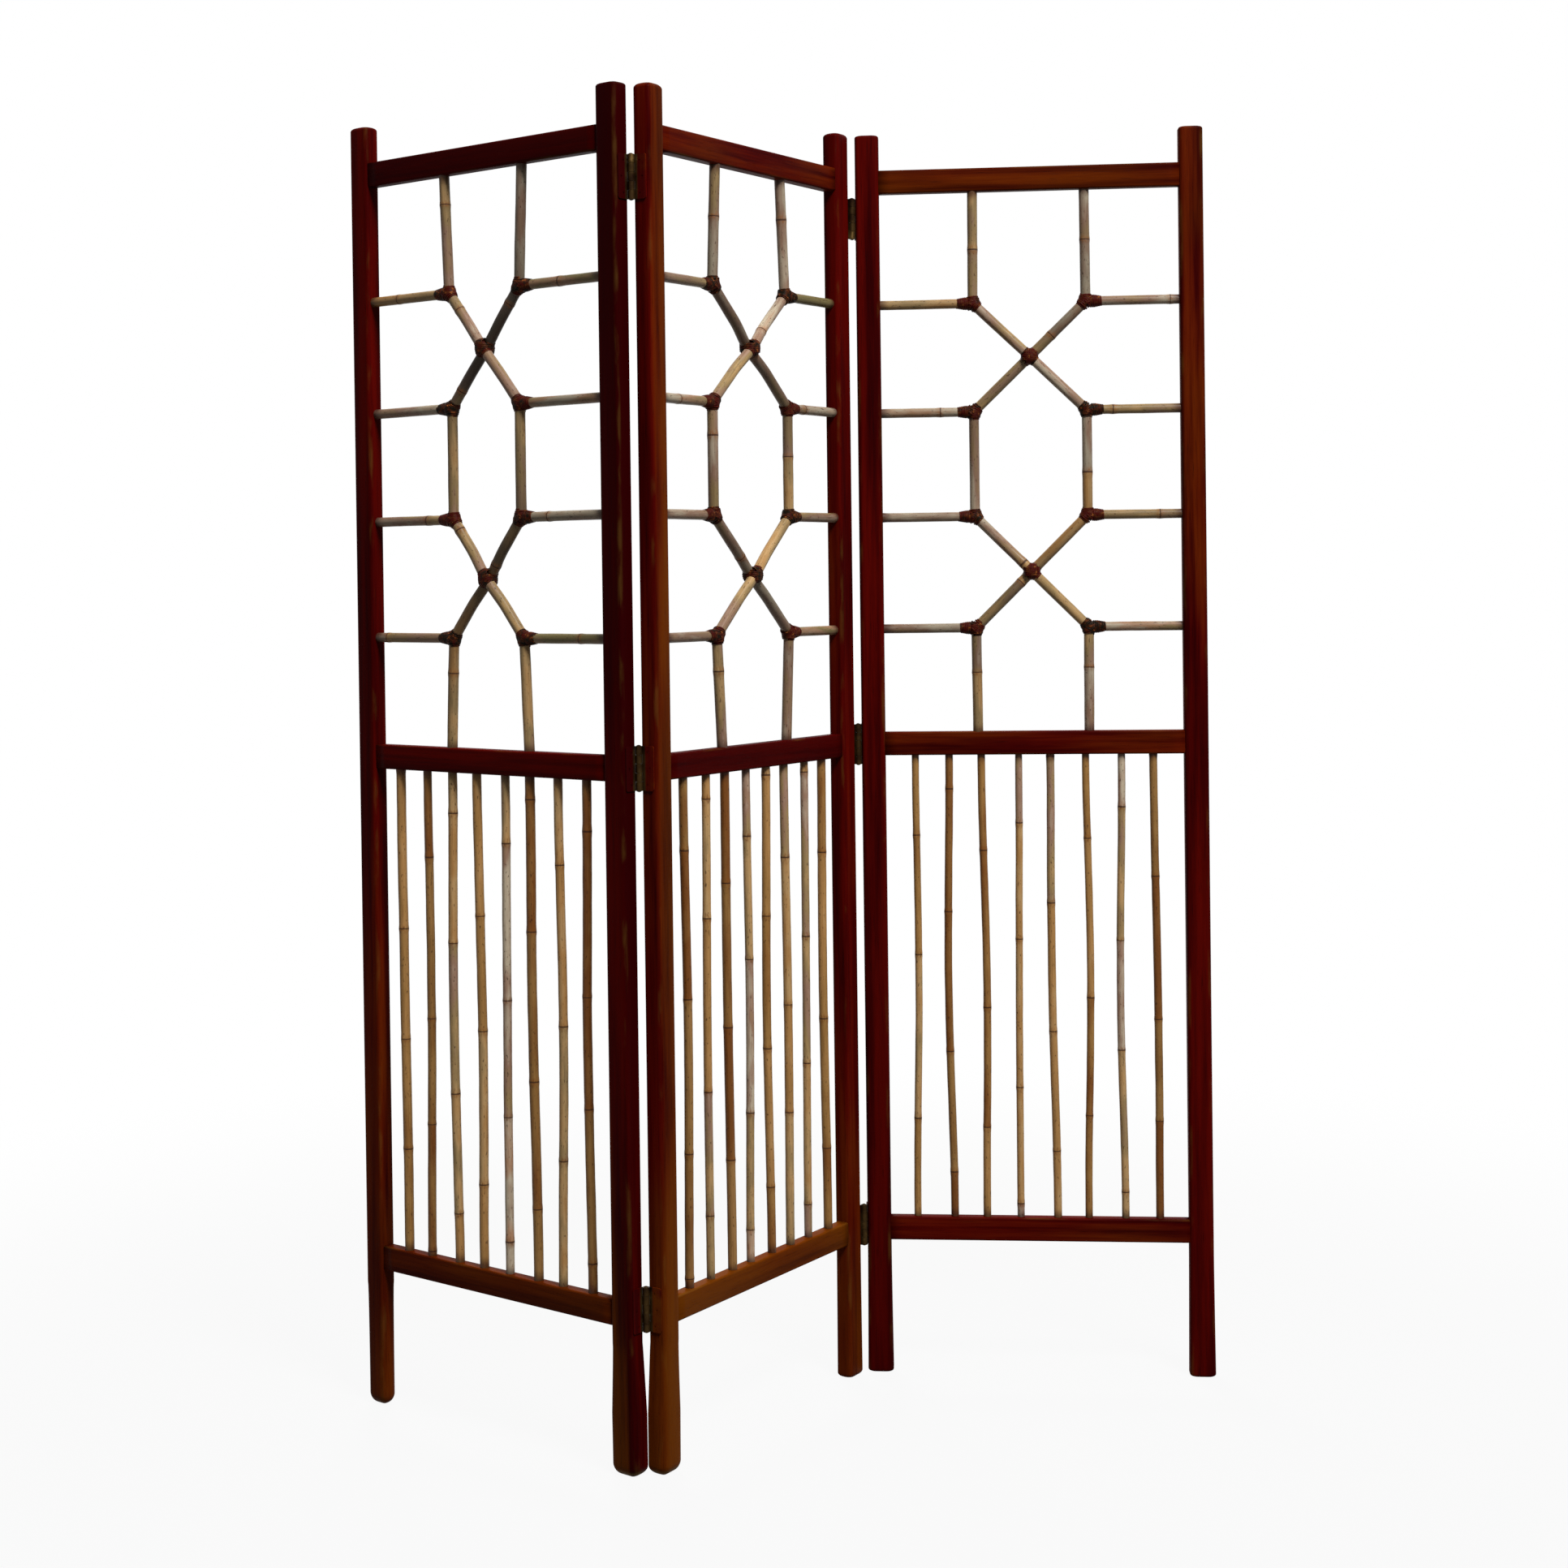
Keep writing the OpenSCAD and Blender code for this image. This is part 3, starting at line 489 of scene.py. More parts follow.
post = {
    "edge": 6 * mm,
    "roundEdge": 11.5 * mm,  # of the feet that are nearly round
    "round": (("left", "outer"), ("left", "inner"), ("middle", "left")),
    "foldEdge": 2.5 * mm,  # of the edge beside the pins of the left fold
    "foldEdgeAtFoot": 0.3 * mm,
    "across": 1.15,  # how much further an end's rounding reaches in across the post than its height
    "inDepth": {"left": 0.95, "middle": 0.9, "right": 0.75},  # and from the front and the back
    "flat": 0.5 * mm,  # half of the least flat between two edges
    "flareHeight": 173 * mm,
    "flarePower": 1.2,
    "flareFull": 80 * mm,  # up to here the feet at the left fold are at their widest
    "backFlare": 0.19,  # of the flare, at the back of the same feet
    "darkSides": {  # how much darker a post is at its left and right side: painted shade on the faces turned into the left fold
        ("left", "inner"): (0.1, 1.0), ("middle", "left"): (0.35, 0),
    },
    "sideFade": 11 * mm,
    "wearWidth": 2 * mm,
    "arcSteps": 6,
    "domeSteps": 8,
    "flareSteps": 24,
    "shaftSteps": 29,
    "posts": {  # edge of the panel, flare and rounding of the foot and rounding of the head in mm, and how brown the wood is on its way up, below 0 where it is nearly black; partly the varnish's own tone, partly painted light (brown) and painted shade (nearly black)
        # and how brown the wood is on its way up, below 0 where it is nearly black
        ("left", "outer"): (0, 1.4, 14.5, 5, (0.45, 0.3, -0.2, 0.0)),
        ("left", "inner"): (1, 4.75, 14, 4, (1.0, 0.2, -0.3, -0.7)),
        ("middle", "left"): (0, 4.75, 14, 7, (1.0, 0.65, 0.55, 0.6)),
        ("middle", "right"): (1, 1.4, 6, 6, (0.65, 0.1, 0.3, -0.3)),
        ("right", "inner"): (0, 1.4, 4.5, 4, (-0.3, -0.2, 0.0, 0.05)),
        ("right", "outer"): (1, 1.4, 4.5, 4, (0.35, 0.0, 0.35, 0.5)),
    },
}


def postRing(which, z, flare, inset):
    insetX, insetY = inset * post["across"], inset * post["inDepth"][which[0]]
    atFold = which in screen["atLeftFold"]
    back = screen["postDepth"] + (flare * post["backFlare"] if atFold else 0)
    most = screen["postDepth"] / 2 - insetY - post["flat"]
    lowness = max(0, 1 - z / post["flareHeight"]) ** 0.5
    edge = post["edge"] + (post["roundEdge"] - post["edge"]) * lowness * (which in post["round"])
    radii = [min(edge + inset / 2, most)] * 4
    if atFold:
        radius = post["foldEdge"] + (post["foldEdgeAtFoot"] - post["foldEdge"]) * lowness
        radii[0 if which[0] == "left" else 1] = min(radius + inset / 2, most)
    outline = roundOutline(
        insetX - flare, screen["postWidth"] + flare - insetX, insetY, back - insetY,
        radii, post["arcSteps"],
    )
    wear = woodLook["footWear"] if atFold and z < post["flareFull"] else 1
    wear *= min(1, inset / post["wearWidth"])
    return [((x, y, z), max(edge, wear)) for x, y, edge in outline]


def flareShare(which, z):  # 1 at the floor, 0 at the flare's end
    if which in screen["atLeftFold"]:
        return min(1, (post["flareHeight"] - z) / (post["flareHeight"] - post["flareFull"]))
    return (1 - z / post["flareHeight"]) ** post["flarePower"]


def postRings(which, flare, foot, head):
    height, flareHeight = screen["height"], post["flareHeight"]
    angles = [pi / 2 * k / post["domeSteps"] for k in range(1, post["domeSteps"] + 1)]
    sole = foot * (1 - cos(angles[0]))
    rings = []
    for angle in angles:  # the domed foot, from its flat middle out
        z = foot * (1 - cos(angle)) - sole
        rings.append(postRing(which, z, flare * flareShare(which, z), foot * (1 - sin(angle))))
    for k in range(1, post["flareSteps"] + 1):
        z = foot + (flareHeight - foot) * k / post["flareSteps"]
        rings.append(postRing(which, z, flare * flareShare(which, z), 0))
    for k in range(1, post["shaftSteps"] + 1):
        z = flareHeight + (height - head - flareHeight) * k / post["shaftSteps"]
        rings.append(postRing(which, z, 0, 0))
    for angle in angles:
        z = height - head * (1 - sin(angle))
        rings.append(postRing(which, z, 0, head * (1 - cos(angle))))
    return rings


def between(values, share):  # value at a share of the way along evenly spaced ones
    place = max(0, min(share, 0.9999)) * (len(values) - 1)
    first = int(place)
    return values[first] + (values[first + 1] - values[first]) * (place - first)


def postTone(which, point, browns):
    brown = between(browns, point[2] / screen["height"])
    # painted shade on the sides turned into the fold
    sides = post["darkSides"].get(which, (0, 0))
    fromSides = (point[0], screen["postWidth"] - point[0])
    for darker, distance in zip(sides, fromSides):
        brown -= darker * max(0, min(1, 1 - distance / post["sideFade"]))
    return brown


for seed, (which, (edge, flare, foot, head, browns)) in enumerate(post["posts"].items(), 1):
    name = "_".join(which)
    shiftX = edge * (screen["panelWidth"] - screen["postWidth"])
    piece = loftPiece(
        name + "_post", postRings(which, flare * mm, foot * mm, head * mm),
        Matrix.Translation((shiftX, 0, 0)), which[0],
        lambda point: postTone(which, point, browns), seed,
    )
    ridePanel(piece, which[0], "frame_wood", name + "_stile")
print("posts made")

rail = {
    "height": 34 * mm,
    "depth": 19 * mm,
    "edge": 3 * mm,
    "intoPost": 1 * mm,
    "arcSteps": 5,
    "steps": 24,
    "browns": {  # of the bottom, middle and top rail; partly the varnish's own tone, partly painted light and sheen (brown) and painted shade (below 0)
        "left": (0.45, 0.05, -0.5), "middle": (0.75, -0.5, 0.35), "right": (0.3, 0.35, 0.5),
    },
    "toPanel": Matrix(((0, 0, 1, 0), (1, 0, 0, 0), (0, 1, 0, 0), (0, 0, 0, 1))),  # from Y, Z, X
}


def railRings(z):
    outline = roundOutline(
        midY - rail["depth"] / 2, midY + rail["depth"] / 2, z, z + rail["height"],
        [rail["edge"]] * 4, rail["arcSteps"],
    )
    start = screen["postWidth"] - rail["intoPost"]
    length = screen["panelWidth"] - start - start
    return [
        [((y, height, start + length * k / rail["steps"]), edge) for y, height, edge in outline]
        for k in range(rail["steps"] + 1)
    ]


for panel in places:
    for number, (level, z) in enumerate(screen["railHeights"].items()):
        piece = loftPiece(
            f"{panel}_{level}_crossrail", railRings(z), rail["toPanel"], panel,
            lambda point: rail["browns"][panel][number], number + 11 + 3 * len(panel),
        )
        ridePanel(piece, panel, "frame_wood", f"{panel}_{level}_rail")
print("rails made")

# Paths for what Geometry Nodes grow


def pathObject(name, paths):
    # each path: its points in the panel's frame, and its values, each one number or a list
    points, edges = [], []
    for path in paths:
        first = len(points)
        points += path["points"]
        edges += [(first + k, first + k + 1) for k in range(len(path["points"]) - 1)]
    mesh = bpy.data.meshes.new(name)
    mesh.from_pydata(points, edges, [])
    for value in ("radius", "through", "bend", "strand", "shade", "hue", "square"):
        along = []
        for path in paths:
            given = path.get(value, path["radius"] if value == "through" else 0.0)
            along += given if isinstance(given, list) else [given] * len(path["points"])
        storeValues(mesh, value + "Of", along)
    return addObject(name, mesh)


def newTree(name, sizes):
    tree = bpy.data.node_groups.new(name, "GeometryNodeTree")
    tree.is_modifier = True
    for way in ("OUTPUT", "INPUT"):
        tree.interface.new_socket("Geometry", in_out=way, socket_type="NodeSocketGeometry")
    kinds = {int: "NodeSocketInt", float: "NodeSocketFloat"}
    for label, value in sizes.items():
        kind = kinds.get(type(value), "NodeSocketMaterial")
        socket = tree.interface.new_socket(label, in_out="INPUT", socket_type=kind)
        if value is not None:
            socket.default_value = value
    given = tree.nodes.new("NodeGroupInput")
    return tree, {socket.name: Wire(socket) for socket in given.outputs if socket.name}


def ownValue(tree, name, kind="FLOAT"):
    return Wire.node(
        tree, "GeometryNodeInputNamedAttribute", {"data_type": kind}, {"Name": name}
    )


def keep(tree, geometry, name, value, kind="FLOAT"):
    return Wire.node(
        tree, "GeometryNodeStoreNamedAttribute", {"data_type": kind, "domain": "POINT"},
        {"Geometry": geometry, "Name": name, "Value": value},
    )


def keepGrain(tree, geometry, across, strand, step):  # each strand has its own place in the grain
    lift = Wire.node(
        tree, "ShaderNodeCombineXYZ", None,
        {0: strand * 0.37, 1: strand * 0.83, 2: ownValue(tree, "lengthOf") + strand * step},
    )
    return keep(tree, geometry, "grain", across + lift, "FLOAT_VECTOR")


def bentPath(tree, given):  # the paths as curves, with their corners rounded
    curve = Wire.node(tree, "GeometryNodeMeshToCurve", None, {0: given["Geometry"]})
    return Wire.node(
        tree, "GeometryNodeFilletCurve", {"mode": "POLY"},
        {"Curve": curve, "Count": 10, "Radius": ownValue(tree, "bendOf"), "Limit Radius": True},
    )


def roundProfile(tree, points):
    return Wire.node(
        tree, "GeometryNodeCurvePrimitiveCircle", None, {"Resolution": points, "Radius": 1.0}
    )


def sweep(tree, curve, profile, scale):  # keeps each point's place in the profile as ringAt
    at = Wire.node(tree, "GeometryNodeInputPosition")
    profile = keep(tree, profile, "ringAt", at, "FLOAT_VECTOR")
    return Wire.node(
        tree, "GeometryNodeCurveToMesh", None,
        {"Curve": curve, "Profile Curve": profile, "Scale": scale, "Fill Caps": True},
    )


def endTree(tree, geometry, material):
    smooth = Wire.node(
        tree, "GeometryNodeSetShadeSmooth", None, {"Geometry": geometry, "Shade Smooth": True}
    )
    real = Wire.node(tree, "GeometryNodeRealizeInstances", None, {"Geometry": smooth})
    done = Wire.node(
        tree, "GeometryNodeSetMaterial", None, {"Geometry": real, "Material": material}
    )
    tree.links.new(done.socket, tree.nodes.new("NodeGroupOutput").inputs[0])


def grow(name, paths, tree, panel, sizes):
    source = pathObject(name + "Path", paths)
    modifier = source.modifiers.new(name, "NODES")
    modifier.node_group = tree
    for item in tree.interface.items_tree:
        if item.in_out == "INPUT" and item.name in sizes:
            modifier[item.identifier] = sizes[item.name]
    graph = bpy.context.evaluated_depsgraph_get()
    mesh = bpy.data.meshes.new_from_object(source.evaluated_get(graph))
    bpy.data.objects.remove(source)
    mesh.name = name
    mesh.transform(places[panel])
    return addObject(name, mesh)


# Canes: a bar along each path, with knots that swell and small bends of its own

goldenAngle = 137.5  # spreads the numbers of a row evenly


def ownShare(number, *angles):  # -1 to 1, its own for each number
    return sin(radians(goldenAngle * number + sum(angles)))


def ownHue(number, kind, low, high):
    return (low + high) / 2 + (high - low) / 2 * ownShare(number, 67 * kind)


def noiseAlong(tree, place, detail):
    return Wire.node(
        tree, "ShaderNodeTexNoise", {"noise_dimensions": "1D"},
        {"W": place, "Scale": 1.0, "Detail": detail},
    )


def caneTree():
    tree, given = newTree("caneTree", {
        "Step": 4 * mm, "Sides": 16, "Knot Spacing": 160 * mm, "Knot Swell": 0.08,
        "Knot Reach": 7 * mm, "Wobble": 0.8 * mm, "Unevenness": 0.05, "Hidden End": 8 * mm,
        "Seed": 1, "Material": None,
    })
    curve = Wire.node(
        tree, "GeometryNodeResampleCurve", {"mode": "LENGTH"},
        {"Curve": bentPath(tree, given), "Length": given["Step"]},
    )
    strand = ownValue(tree, "strandOf") + given["Seed"] * 7.31
    along = Wire.node(tree, "GeometryNodeSplineParameter", output="Length")
    drift = noiseAlong(tree, along * 3 + strand * 5.3, 0.0)
    lumps = noiseAlong(tree, along * 26 + strand * 3.1, 1.0)
    knots = along / given["Knot Spacing"] + drift * 0.5 + strand * 0.617
    fromRing = (knots.math("FRACT") - 0.5).math("ABSOLUTE") * given["Knot Spacing"]
    swell = (1 - fade(fromRing, 0.0, given["Knot Reach"])) * given["Knot Swell"]
    thickness = 1 + swell + (lumps - 0.5) * given["Unevenness"]
    whole = Wire.node(tree, "GeometryNodeSplineLength")
    curve = keep(tree, curve, "lengthOf", along)
    fromEnd = along.math("MINIMUM", whole - along) - given["Hidden End"]
    curve = keep(tree, curve, "fromEnd", fromEnd)
    curve = keep(tree, curve, "knots", knots)
    curve = keep(tree, curve, "thickness", thickness * ownValue(tree, "radiusOf"))
    place = Wire.node(tree, "GeometryNodeInputPosition")
    shake = Wire.node(
        tree, "ShaderNodeTexNoise", None,
        {"Vector": place * 9 + strand * 1.7, "Scale": 1.0, "Detail": 1.0}, output="Color",
    )
    offset = (shake - 0.5) * given["Wobble"] * 2
    curve = Wire.node(
        tree, "GeometryNodeSetPosition", None, {"Geometry": curve, "Offset": offset}
    )
    bars = sweep(tree, curve, roundProfile(tree, given["Sides"]), ownValue(tree, "thickness"))
    across = ownValue(tree, "ringAt", "FLOAT_VECTOR") * ownValue(tree, "thickness")
    bars = keepGrain(tree, bars, across, strand, 1.37)
    bars = keep(tree, bars, "spacing", given["Knot Spacing"])
    endTree(tree, bars, given["Material"])
    return tree


cane = {
    "radius": 7.25 * mm,
    "sideRadius": 6.75 * mm,
    "bend": 16 * mm,
    "layer": 1.2 * mm,  # from the panel's middle plane
    "over": 3.4 * mm,  # the same where two canes cross
    "lapSteps": 6,  # on each side of a crossing, while a cane moves over to it
    "lapStep": 9 * mm,
    "seat": 8 * mm,
    "topRow": 1554 * mm,
    "rowPitch": 156.667 * mm,
    "thirdRowLift": 5 * mm,
    "latticeFoot": 934 * mm,
    "spread": {"left": 144 * mm, "middle": 164 * mm, "right": 160 * mm},
    "waist": {"left": 130 * mm, "middle": 184 * mm, "right": 162 * mm},
    "smoke": 0.4,  # how dark the upright stretches are: partly the lattice's own darker rattan, partly painted shade
    "footSmoke": 0.28,  # and the lower ends
    "crossingSmoke": {  # painted shade where a cane slopes down to the right, and to the left: in each panel the canes that slope one way are darker by how the light falls on them
        "left": (0.15, 0.95), "middle": (0.6, 0.08), "right": (0.15, 0.6),
    },
    # the side canes the same: partly their own darker rattan, partly painted shade
    "sideSmoke": 0.42,
    "hues": (0.62, 1.05),  # lowest and highest place in the row of cane colours
    "seeds": {"left": 3, "middle": 8, "right": 14},
    "growth": {
        "Step": 3 * mm, "Sides": 18, "Knot Spacing": 190 * mm, "Knot Swell": 0.07,
        "Knot Reach": 7 * mm, "Wobble": 0.5 * mm, "Unevenness": 0.05,
    },
}


def rowZ(row):
    return cane["topRow"] - row * cane["rowPitch"] + (cane["thirdRowLift"] if row == 2 else 0)


def rowSide(side, row):  # a cane starts at its own side and crosses over twice
    return -side if row in (1, 2) else side


def rowPoint(panel, side, row):
    return Vector((midX + rowSide(side, row) * cane["waist"][panel] / 2, rowZ(row)))


def slope(panel, side, crossing):  # where a cane starts to slope to a crossing, and where it ends
    return rowPoint(panel, side, 2 * crossing), rowPoint(panel, side, 2 * crossing + 1)


def overY(panel, side, crossing):  # the cane that leans the panel's own way passes in front
    leansRight = rowSide(side, 2 * crossing) < 0
    inFront = leansRight != (panel == "middle")
    return midY + (-1 if inFront else 1) * cane["over"]


def bentCane(panel, side):
    layer = midY + side * cane["layer"]
    endX = midX + side * cane["spread"][panel] / 2
    points = [(endX, layer, screen["railHeights"]["top"] + cane["seat"])]
    shades = [cane["smoke"]]
    steps = cane["lapSteps"]
    for crossing in (0, 1):
        start, end = slope(panel, side, crossing)
        over = overY(panel, side, crossing)
        points.append((start.x, layer, start.y))
        for k in range(-steps, steps + 1):
            at = (start + end) / 2 + (end - start).normalized() * k * cane["lapStep"]
            y = layer + (over - layer) * (1 + cos(pi * k / steps)) / 2
            points.append((at.x, y, at.y))
        points.append((end.x, layer, end.y))
        # painted shade: how dark a sloping stretch is depends on which way it slopes in this panel
        shade = cane["crossingSmoke"][panel][0 if end.x > start.x else 1]
        atBend = (shade + cane["smoke"]) / 2
        shades += [atBend] + [shade] * (2 * steps + 1) + [atBend]
    points.append((endX, layer, cane["latticeFoot"] - cane["seat"]))
    shades.append(cane["footSmoke"])
    return {
        "points": points, "radius": cane["radius"], "bend": cane["bend"], "strand": 2 + side,
        "shade": shades, "hue": ownHue(side, 1, *cane["hues"]),
    }


def sideCane(panel, edge, row):
    side = rowSide(edge, row)  # of the bent cane that it meets
    bend = rowPoint(panel, side, row)
    inPost = midX + edge * (midX - screen["postWidth"] + cane["seat"])
    y = midY + side * cane["layer"]
    return {
        "points": [(bend.x, y, bend.y), (inPost, y, bend.y)], "radius": cane["sideRadius"],
        "strand": 11 + row + 2.5 * edge, "shade": cane["sideSmoke"],
        "hue": ownHue(row, edge + 5, *cane["hues"]),
    }


canes = caneTree()
for panel in places:
    paths = [bentCane(panel, side) for side in (-1, 1)]
    paths += [sideCane(panel, edge, row) for edge in (-1, 1) for row in range(4)]
    piece = grow(f"{panel}_lattice", paths, canes, panel, {
        **cane["growth"], "Hidden End": cane["seat"], "Seed": cane["seeds"][panel],
        "Material": caneSkin,
    })
    edges = ("left", "right") if panel == "middle" else ("outer", "inner")
    ridePanel(
        piece, panel, "cane", f"{panel}_front_cane", f"{panel}_rear_cane",
        *(f"{panel}_{edge}_side_canes" for edge in edges),
    )
print("lattices grown")

spindle = {
    "count": 8,
    "radius": {"left": 6.25 * mm, "middle": 6 * mm, "right": 5.5 * mm},
    "spare": 0.06,  # how much thicker or thinner one may be
    "pitch": 49.4 * mm,
    "bow": 5 * mm,
    "wander": 2.5 * mm,
    "seat": 8 * mm,
    "steps": 28,
    "rusty": {"left": (1, 5, 7), "middle": (0, 2), "right": (1, 7)},  # numbers of the darker ones
    "rustySmoke": 0.15,
    "hues": (0.15, 0.75),
    "growth": {
        "Step": 5 * mm, "Sides": 16, "Knot Spacing": 190 * mm, "Knot Swell": 0.09,
        "Knot Reach": 7 * mm, "Wobble": 0.7 * mm, "Unevenness": 0.06,
    },
}


def spindlePath(panel, number):
    def share(kind):
        return ownShare(number + 1, 70 * list(places).index(panel), 110 * kind)

    evenX = midX + (number - (spindle["count"] - 1) / 2) * spindle["pitch"]
    foot, head = (evenX + spindle["wander"] * share(end) for end in (0, 1))
    bow = spindle["bow"] * share(2)
    low = screen["railHeights"]["bottom"] + rail["height"]
    high = screen["railHeights"]["middle"]
    points = [(foot, midY, low - spindle["seat"])]
    for k in range(spindle["steps"] + 1):
        s = k / spindle["steps"]
        x = foot + (head - foot) * (3 - 2 * s) * s * s + bow * (1 - cos(2 * pi * s)) / 2
        points.append((x, midY, low + (high - low) * s))
    points.append((head, midY, high + spindle["seat"]))
    rusty = number in spindle["rusty"][panel]
    return {
        "points": points, "radius": spindle["radius"][panel] * (1 + spindle["spare"] * share(3)),
        "strand": number + 31.0, "shade": spindle["rustySmoke"] if rusty else 0.0,
        "hue": 0.0 if rusty else ownHue(number, len(panel), *spindle["hues"]),
    }


for panel in places:
    paths = [spindlePath(panel, number) for number in range(spindle["count"])]
    piece = grow(f"{panel}_spindle_row", paths, canes, panel, {
        **spindle["growth"], "Hidden End": spindle["seat"], "Seed": cane["seeds"][panel] + 2,
        "Material": caneSkin,
    })
    ridePanel(piece, panel, "cane", f"{panel}_spindles")
print("spindles grown")

# Lashings: strips of peel wound round a path


def windTree():
    tree, given = newTree("windTree", {
        "Pitch": 2.5 * mm, "Steps": 18, "Peel Width": 2.7 * mm, "Peel Thickness": 1.2 * mm,
        "Material": None,
    })
    curve = bentPath(tree, given)
    whole = Wire.node(tree, "GeometryNodeSplineLength")
    count = (whole / given["Pitch"] * given["Steps"]).math("CEIL") + 1
    curve = Wire.node(
        tree, "GeometryNodeResampleCurve", {"mode": "COUNT"}, {"Curve": curve, "Count": count}
    )
    curve = Wire.node(
        tree, "GeometryNodeSetCurveNormal", {"mode": "FREE"}, {"Curve": curve, "Normal": (0, 1, 0)}
    )
    along = Wire.node(tree, "GeometryNodeSplineParameter", output="Length")
    strand = ownValue(tree, "strandOf")
    turn = along / given["Pitch"] * (2 * pi) + strand * 2.4
    cosine, sine = turn.math("COSINE"), turn.math("SINE")
    roundness = cosine.math("POWER", 4.0) + sine.math("POWER", 4.0)
    stretched = roundness.math("POWER", ownValue(tree, "squareOf") * -0.25)  # 1 where it is round
    back = Wire.node(tree, "GeometryNodeInputNormal")
    tangent = Wire.node(tree, "GeometryNodeInputTangent")
    sideways = tangent.math("CROSS_PRODUCT", back)
    half = given["Peel Thickness"] * 0.5
    out = back * (cosine * (ownValue(tree, "throughOf") + half))
    out = (out + sideways * (sine * (ownValue(tree, "radiusOf") + half))) * stretched
    curve = keep(tree, curve, "out", out, "FLOAT_VECTOR")
    out = ownValue(tree, "out", "FLOAT_VECTOR")
    curve = Wire.node(tree, "GeometryNodeSetPosition", None, {"Geometry": curve, "Offset": out})
    curve = Wire.node(
        tree, "GeometryNodeSetCurveNormal", {"mode": "FREE"},
        {"Curve": curve, "Normal": out.math("NORMALIZE")},
    )
    along = Wire.node(tree, "GeometryNodeSplineParameter", output="Length")
    curve = keep(tree, curve, "lengthOf", along)
    section = Wire.node(
        tree, "ShaderNodeCombineXYZ", None, {0: half, 1: given["Peel Width"] * 0.5, 2: 1.0}
    )
    strip = Wire.node(
        tree, "GeometryNodeTransform", None,
        {"Geometry": roundProfile(tree, 8), "Scale": section},
    )
    wound = sweep(tree, curve, strip, 1.0)
    wound = keepGrain(tree, wound, ownValue(tree, "ringAt", "FLOAT_VECTOR"), strand, 1)
    endTree(tree, wound, given["Material"])
    return tree


lashing = {
    "pitch": 2.5 * mm,
    "stepsPerTurn": 18,
    "width": 2.8 * mm,
    "thickness": 1.2 * mm,
    "arm": 10.5 * mm,  # how far it reaches from a joint along the bent cane
    "sideArm": 23 * mm,  # and along the side cane
    "sideThick": 5 * mm,  # where it starts to taper there, past the bent cane's radius
    "bulge": 1.3 * mm,  # how much thicker it is at the joint
    "cornerTurns": 3,  # on each diagonal of a joint
    "cornerOut": 2 * mm,  # their middle, from the joint towards the side cane
    "cornerSpare": 0.8 * mm,
    "knotTurns": 5,  # at a crossing, each way
    "ownTurns": 9,  # round each of its canes
    "knotSpare": 1.0 * mm,  # how far the turns of a crossing stand off the canes
    "knotLift": 1.6 * mm,  # the same at its front and back
    "knotSquare": 0.7,  # 1 for turns of a square outline
    "knotPull": (0.98, 0.9),  # their height against the crossing's, in the middle and at the ends
    "knotTaper": 0.94,  # their depth at the ends
}


def winding(points, y, radius, through, strand, bend=0.0, square=0.0):
    return {
        "points": [(point.x, y, point.y) for point in points], "radius": radius,
        "through": through, "bend": bend, "strand": strand, "square": square,
        "hue": ownHue(int(strand), 3, 0.0, 1.0),
    }


def jointWindings(panel, edge, row):
    side = rowSide(edge, row)
    y = midY + side * cane["layer"]
    at = rowPoint(panel, side, row)
    endX = midX + side * cane["spread"][panel] / 2
    above = rowPoint(panel, side, row - 1) if row else Vector((endX, screen["railHeights"]["top"]))
    below = rowPoint(panel, side, row + 1) if row < 3 else Vector((endX, cane["latticeFoot"]))
    up, down, out = (above - at).normalized(), (below - at).normalized(), Vector((edge, 0.0))
    strand = 4.0 * row + edge + 2 * (panel == "middle") + 40 * (panel == "right")
    bulge, sunk = lashing["bulge"], lashing["thickness"] / 2
    thin, thick = cane["radius"] - sunk, cane["radius"] + bulge
    thinSide, thickSide = cane["sideRadius"] - sunk, cane["sideRadius"] + bulge
    sizes, sideSizes = [thin, thick, thin], [thickSide, thickSide, thinSide]
    onBend = [at + up * lashing["arm"], at, at + down * lashing["arm"]]
    starts = (cane["radius"], cane["radius"] + lashing["sideThick"], lashing["sideArm"])
    onSide = [at + out * start for start in starts]
    paths = [
        winding(onBend, y, sizes, sizes, strand, cane["bend"]),
        winding(onSide, y, sideSizes, sideSizes, strand + 0.3),
    ]
    reach = lashing["pitch"] * lashing["cornerTurns"] / 2
    middle = at + out * lashing["cornerOut"]
    for k, arm in enumerate((up, down)):  # turns that go over the joint from corner to corner
        axis = (arm + out).normalized()
        paths.append(winding(
            [middle - axis * reach, middle + axis * reach], y,
            thick + lashing["cornerSpare"], thick + sunk, strand + 0.5 + 0.2 * k,
        ))
    return paths


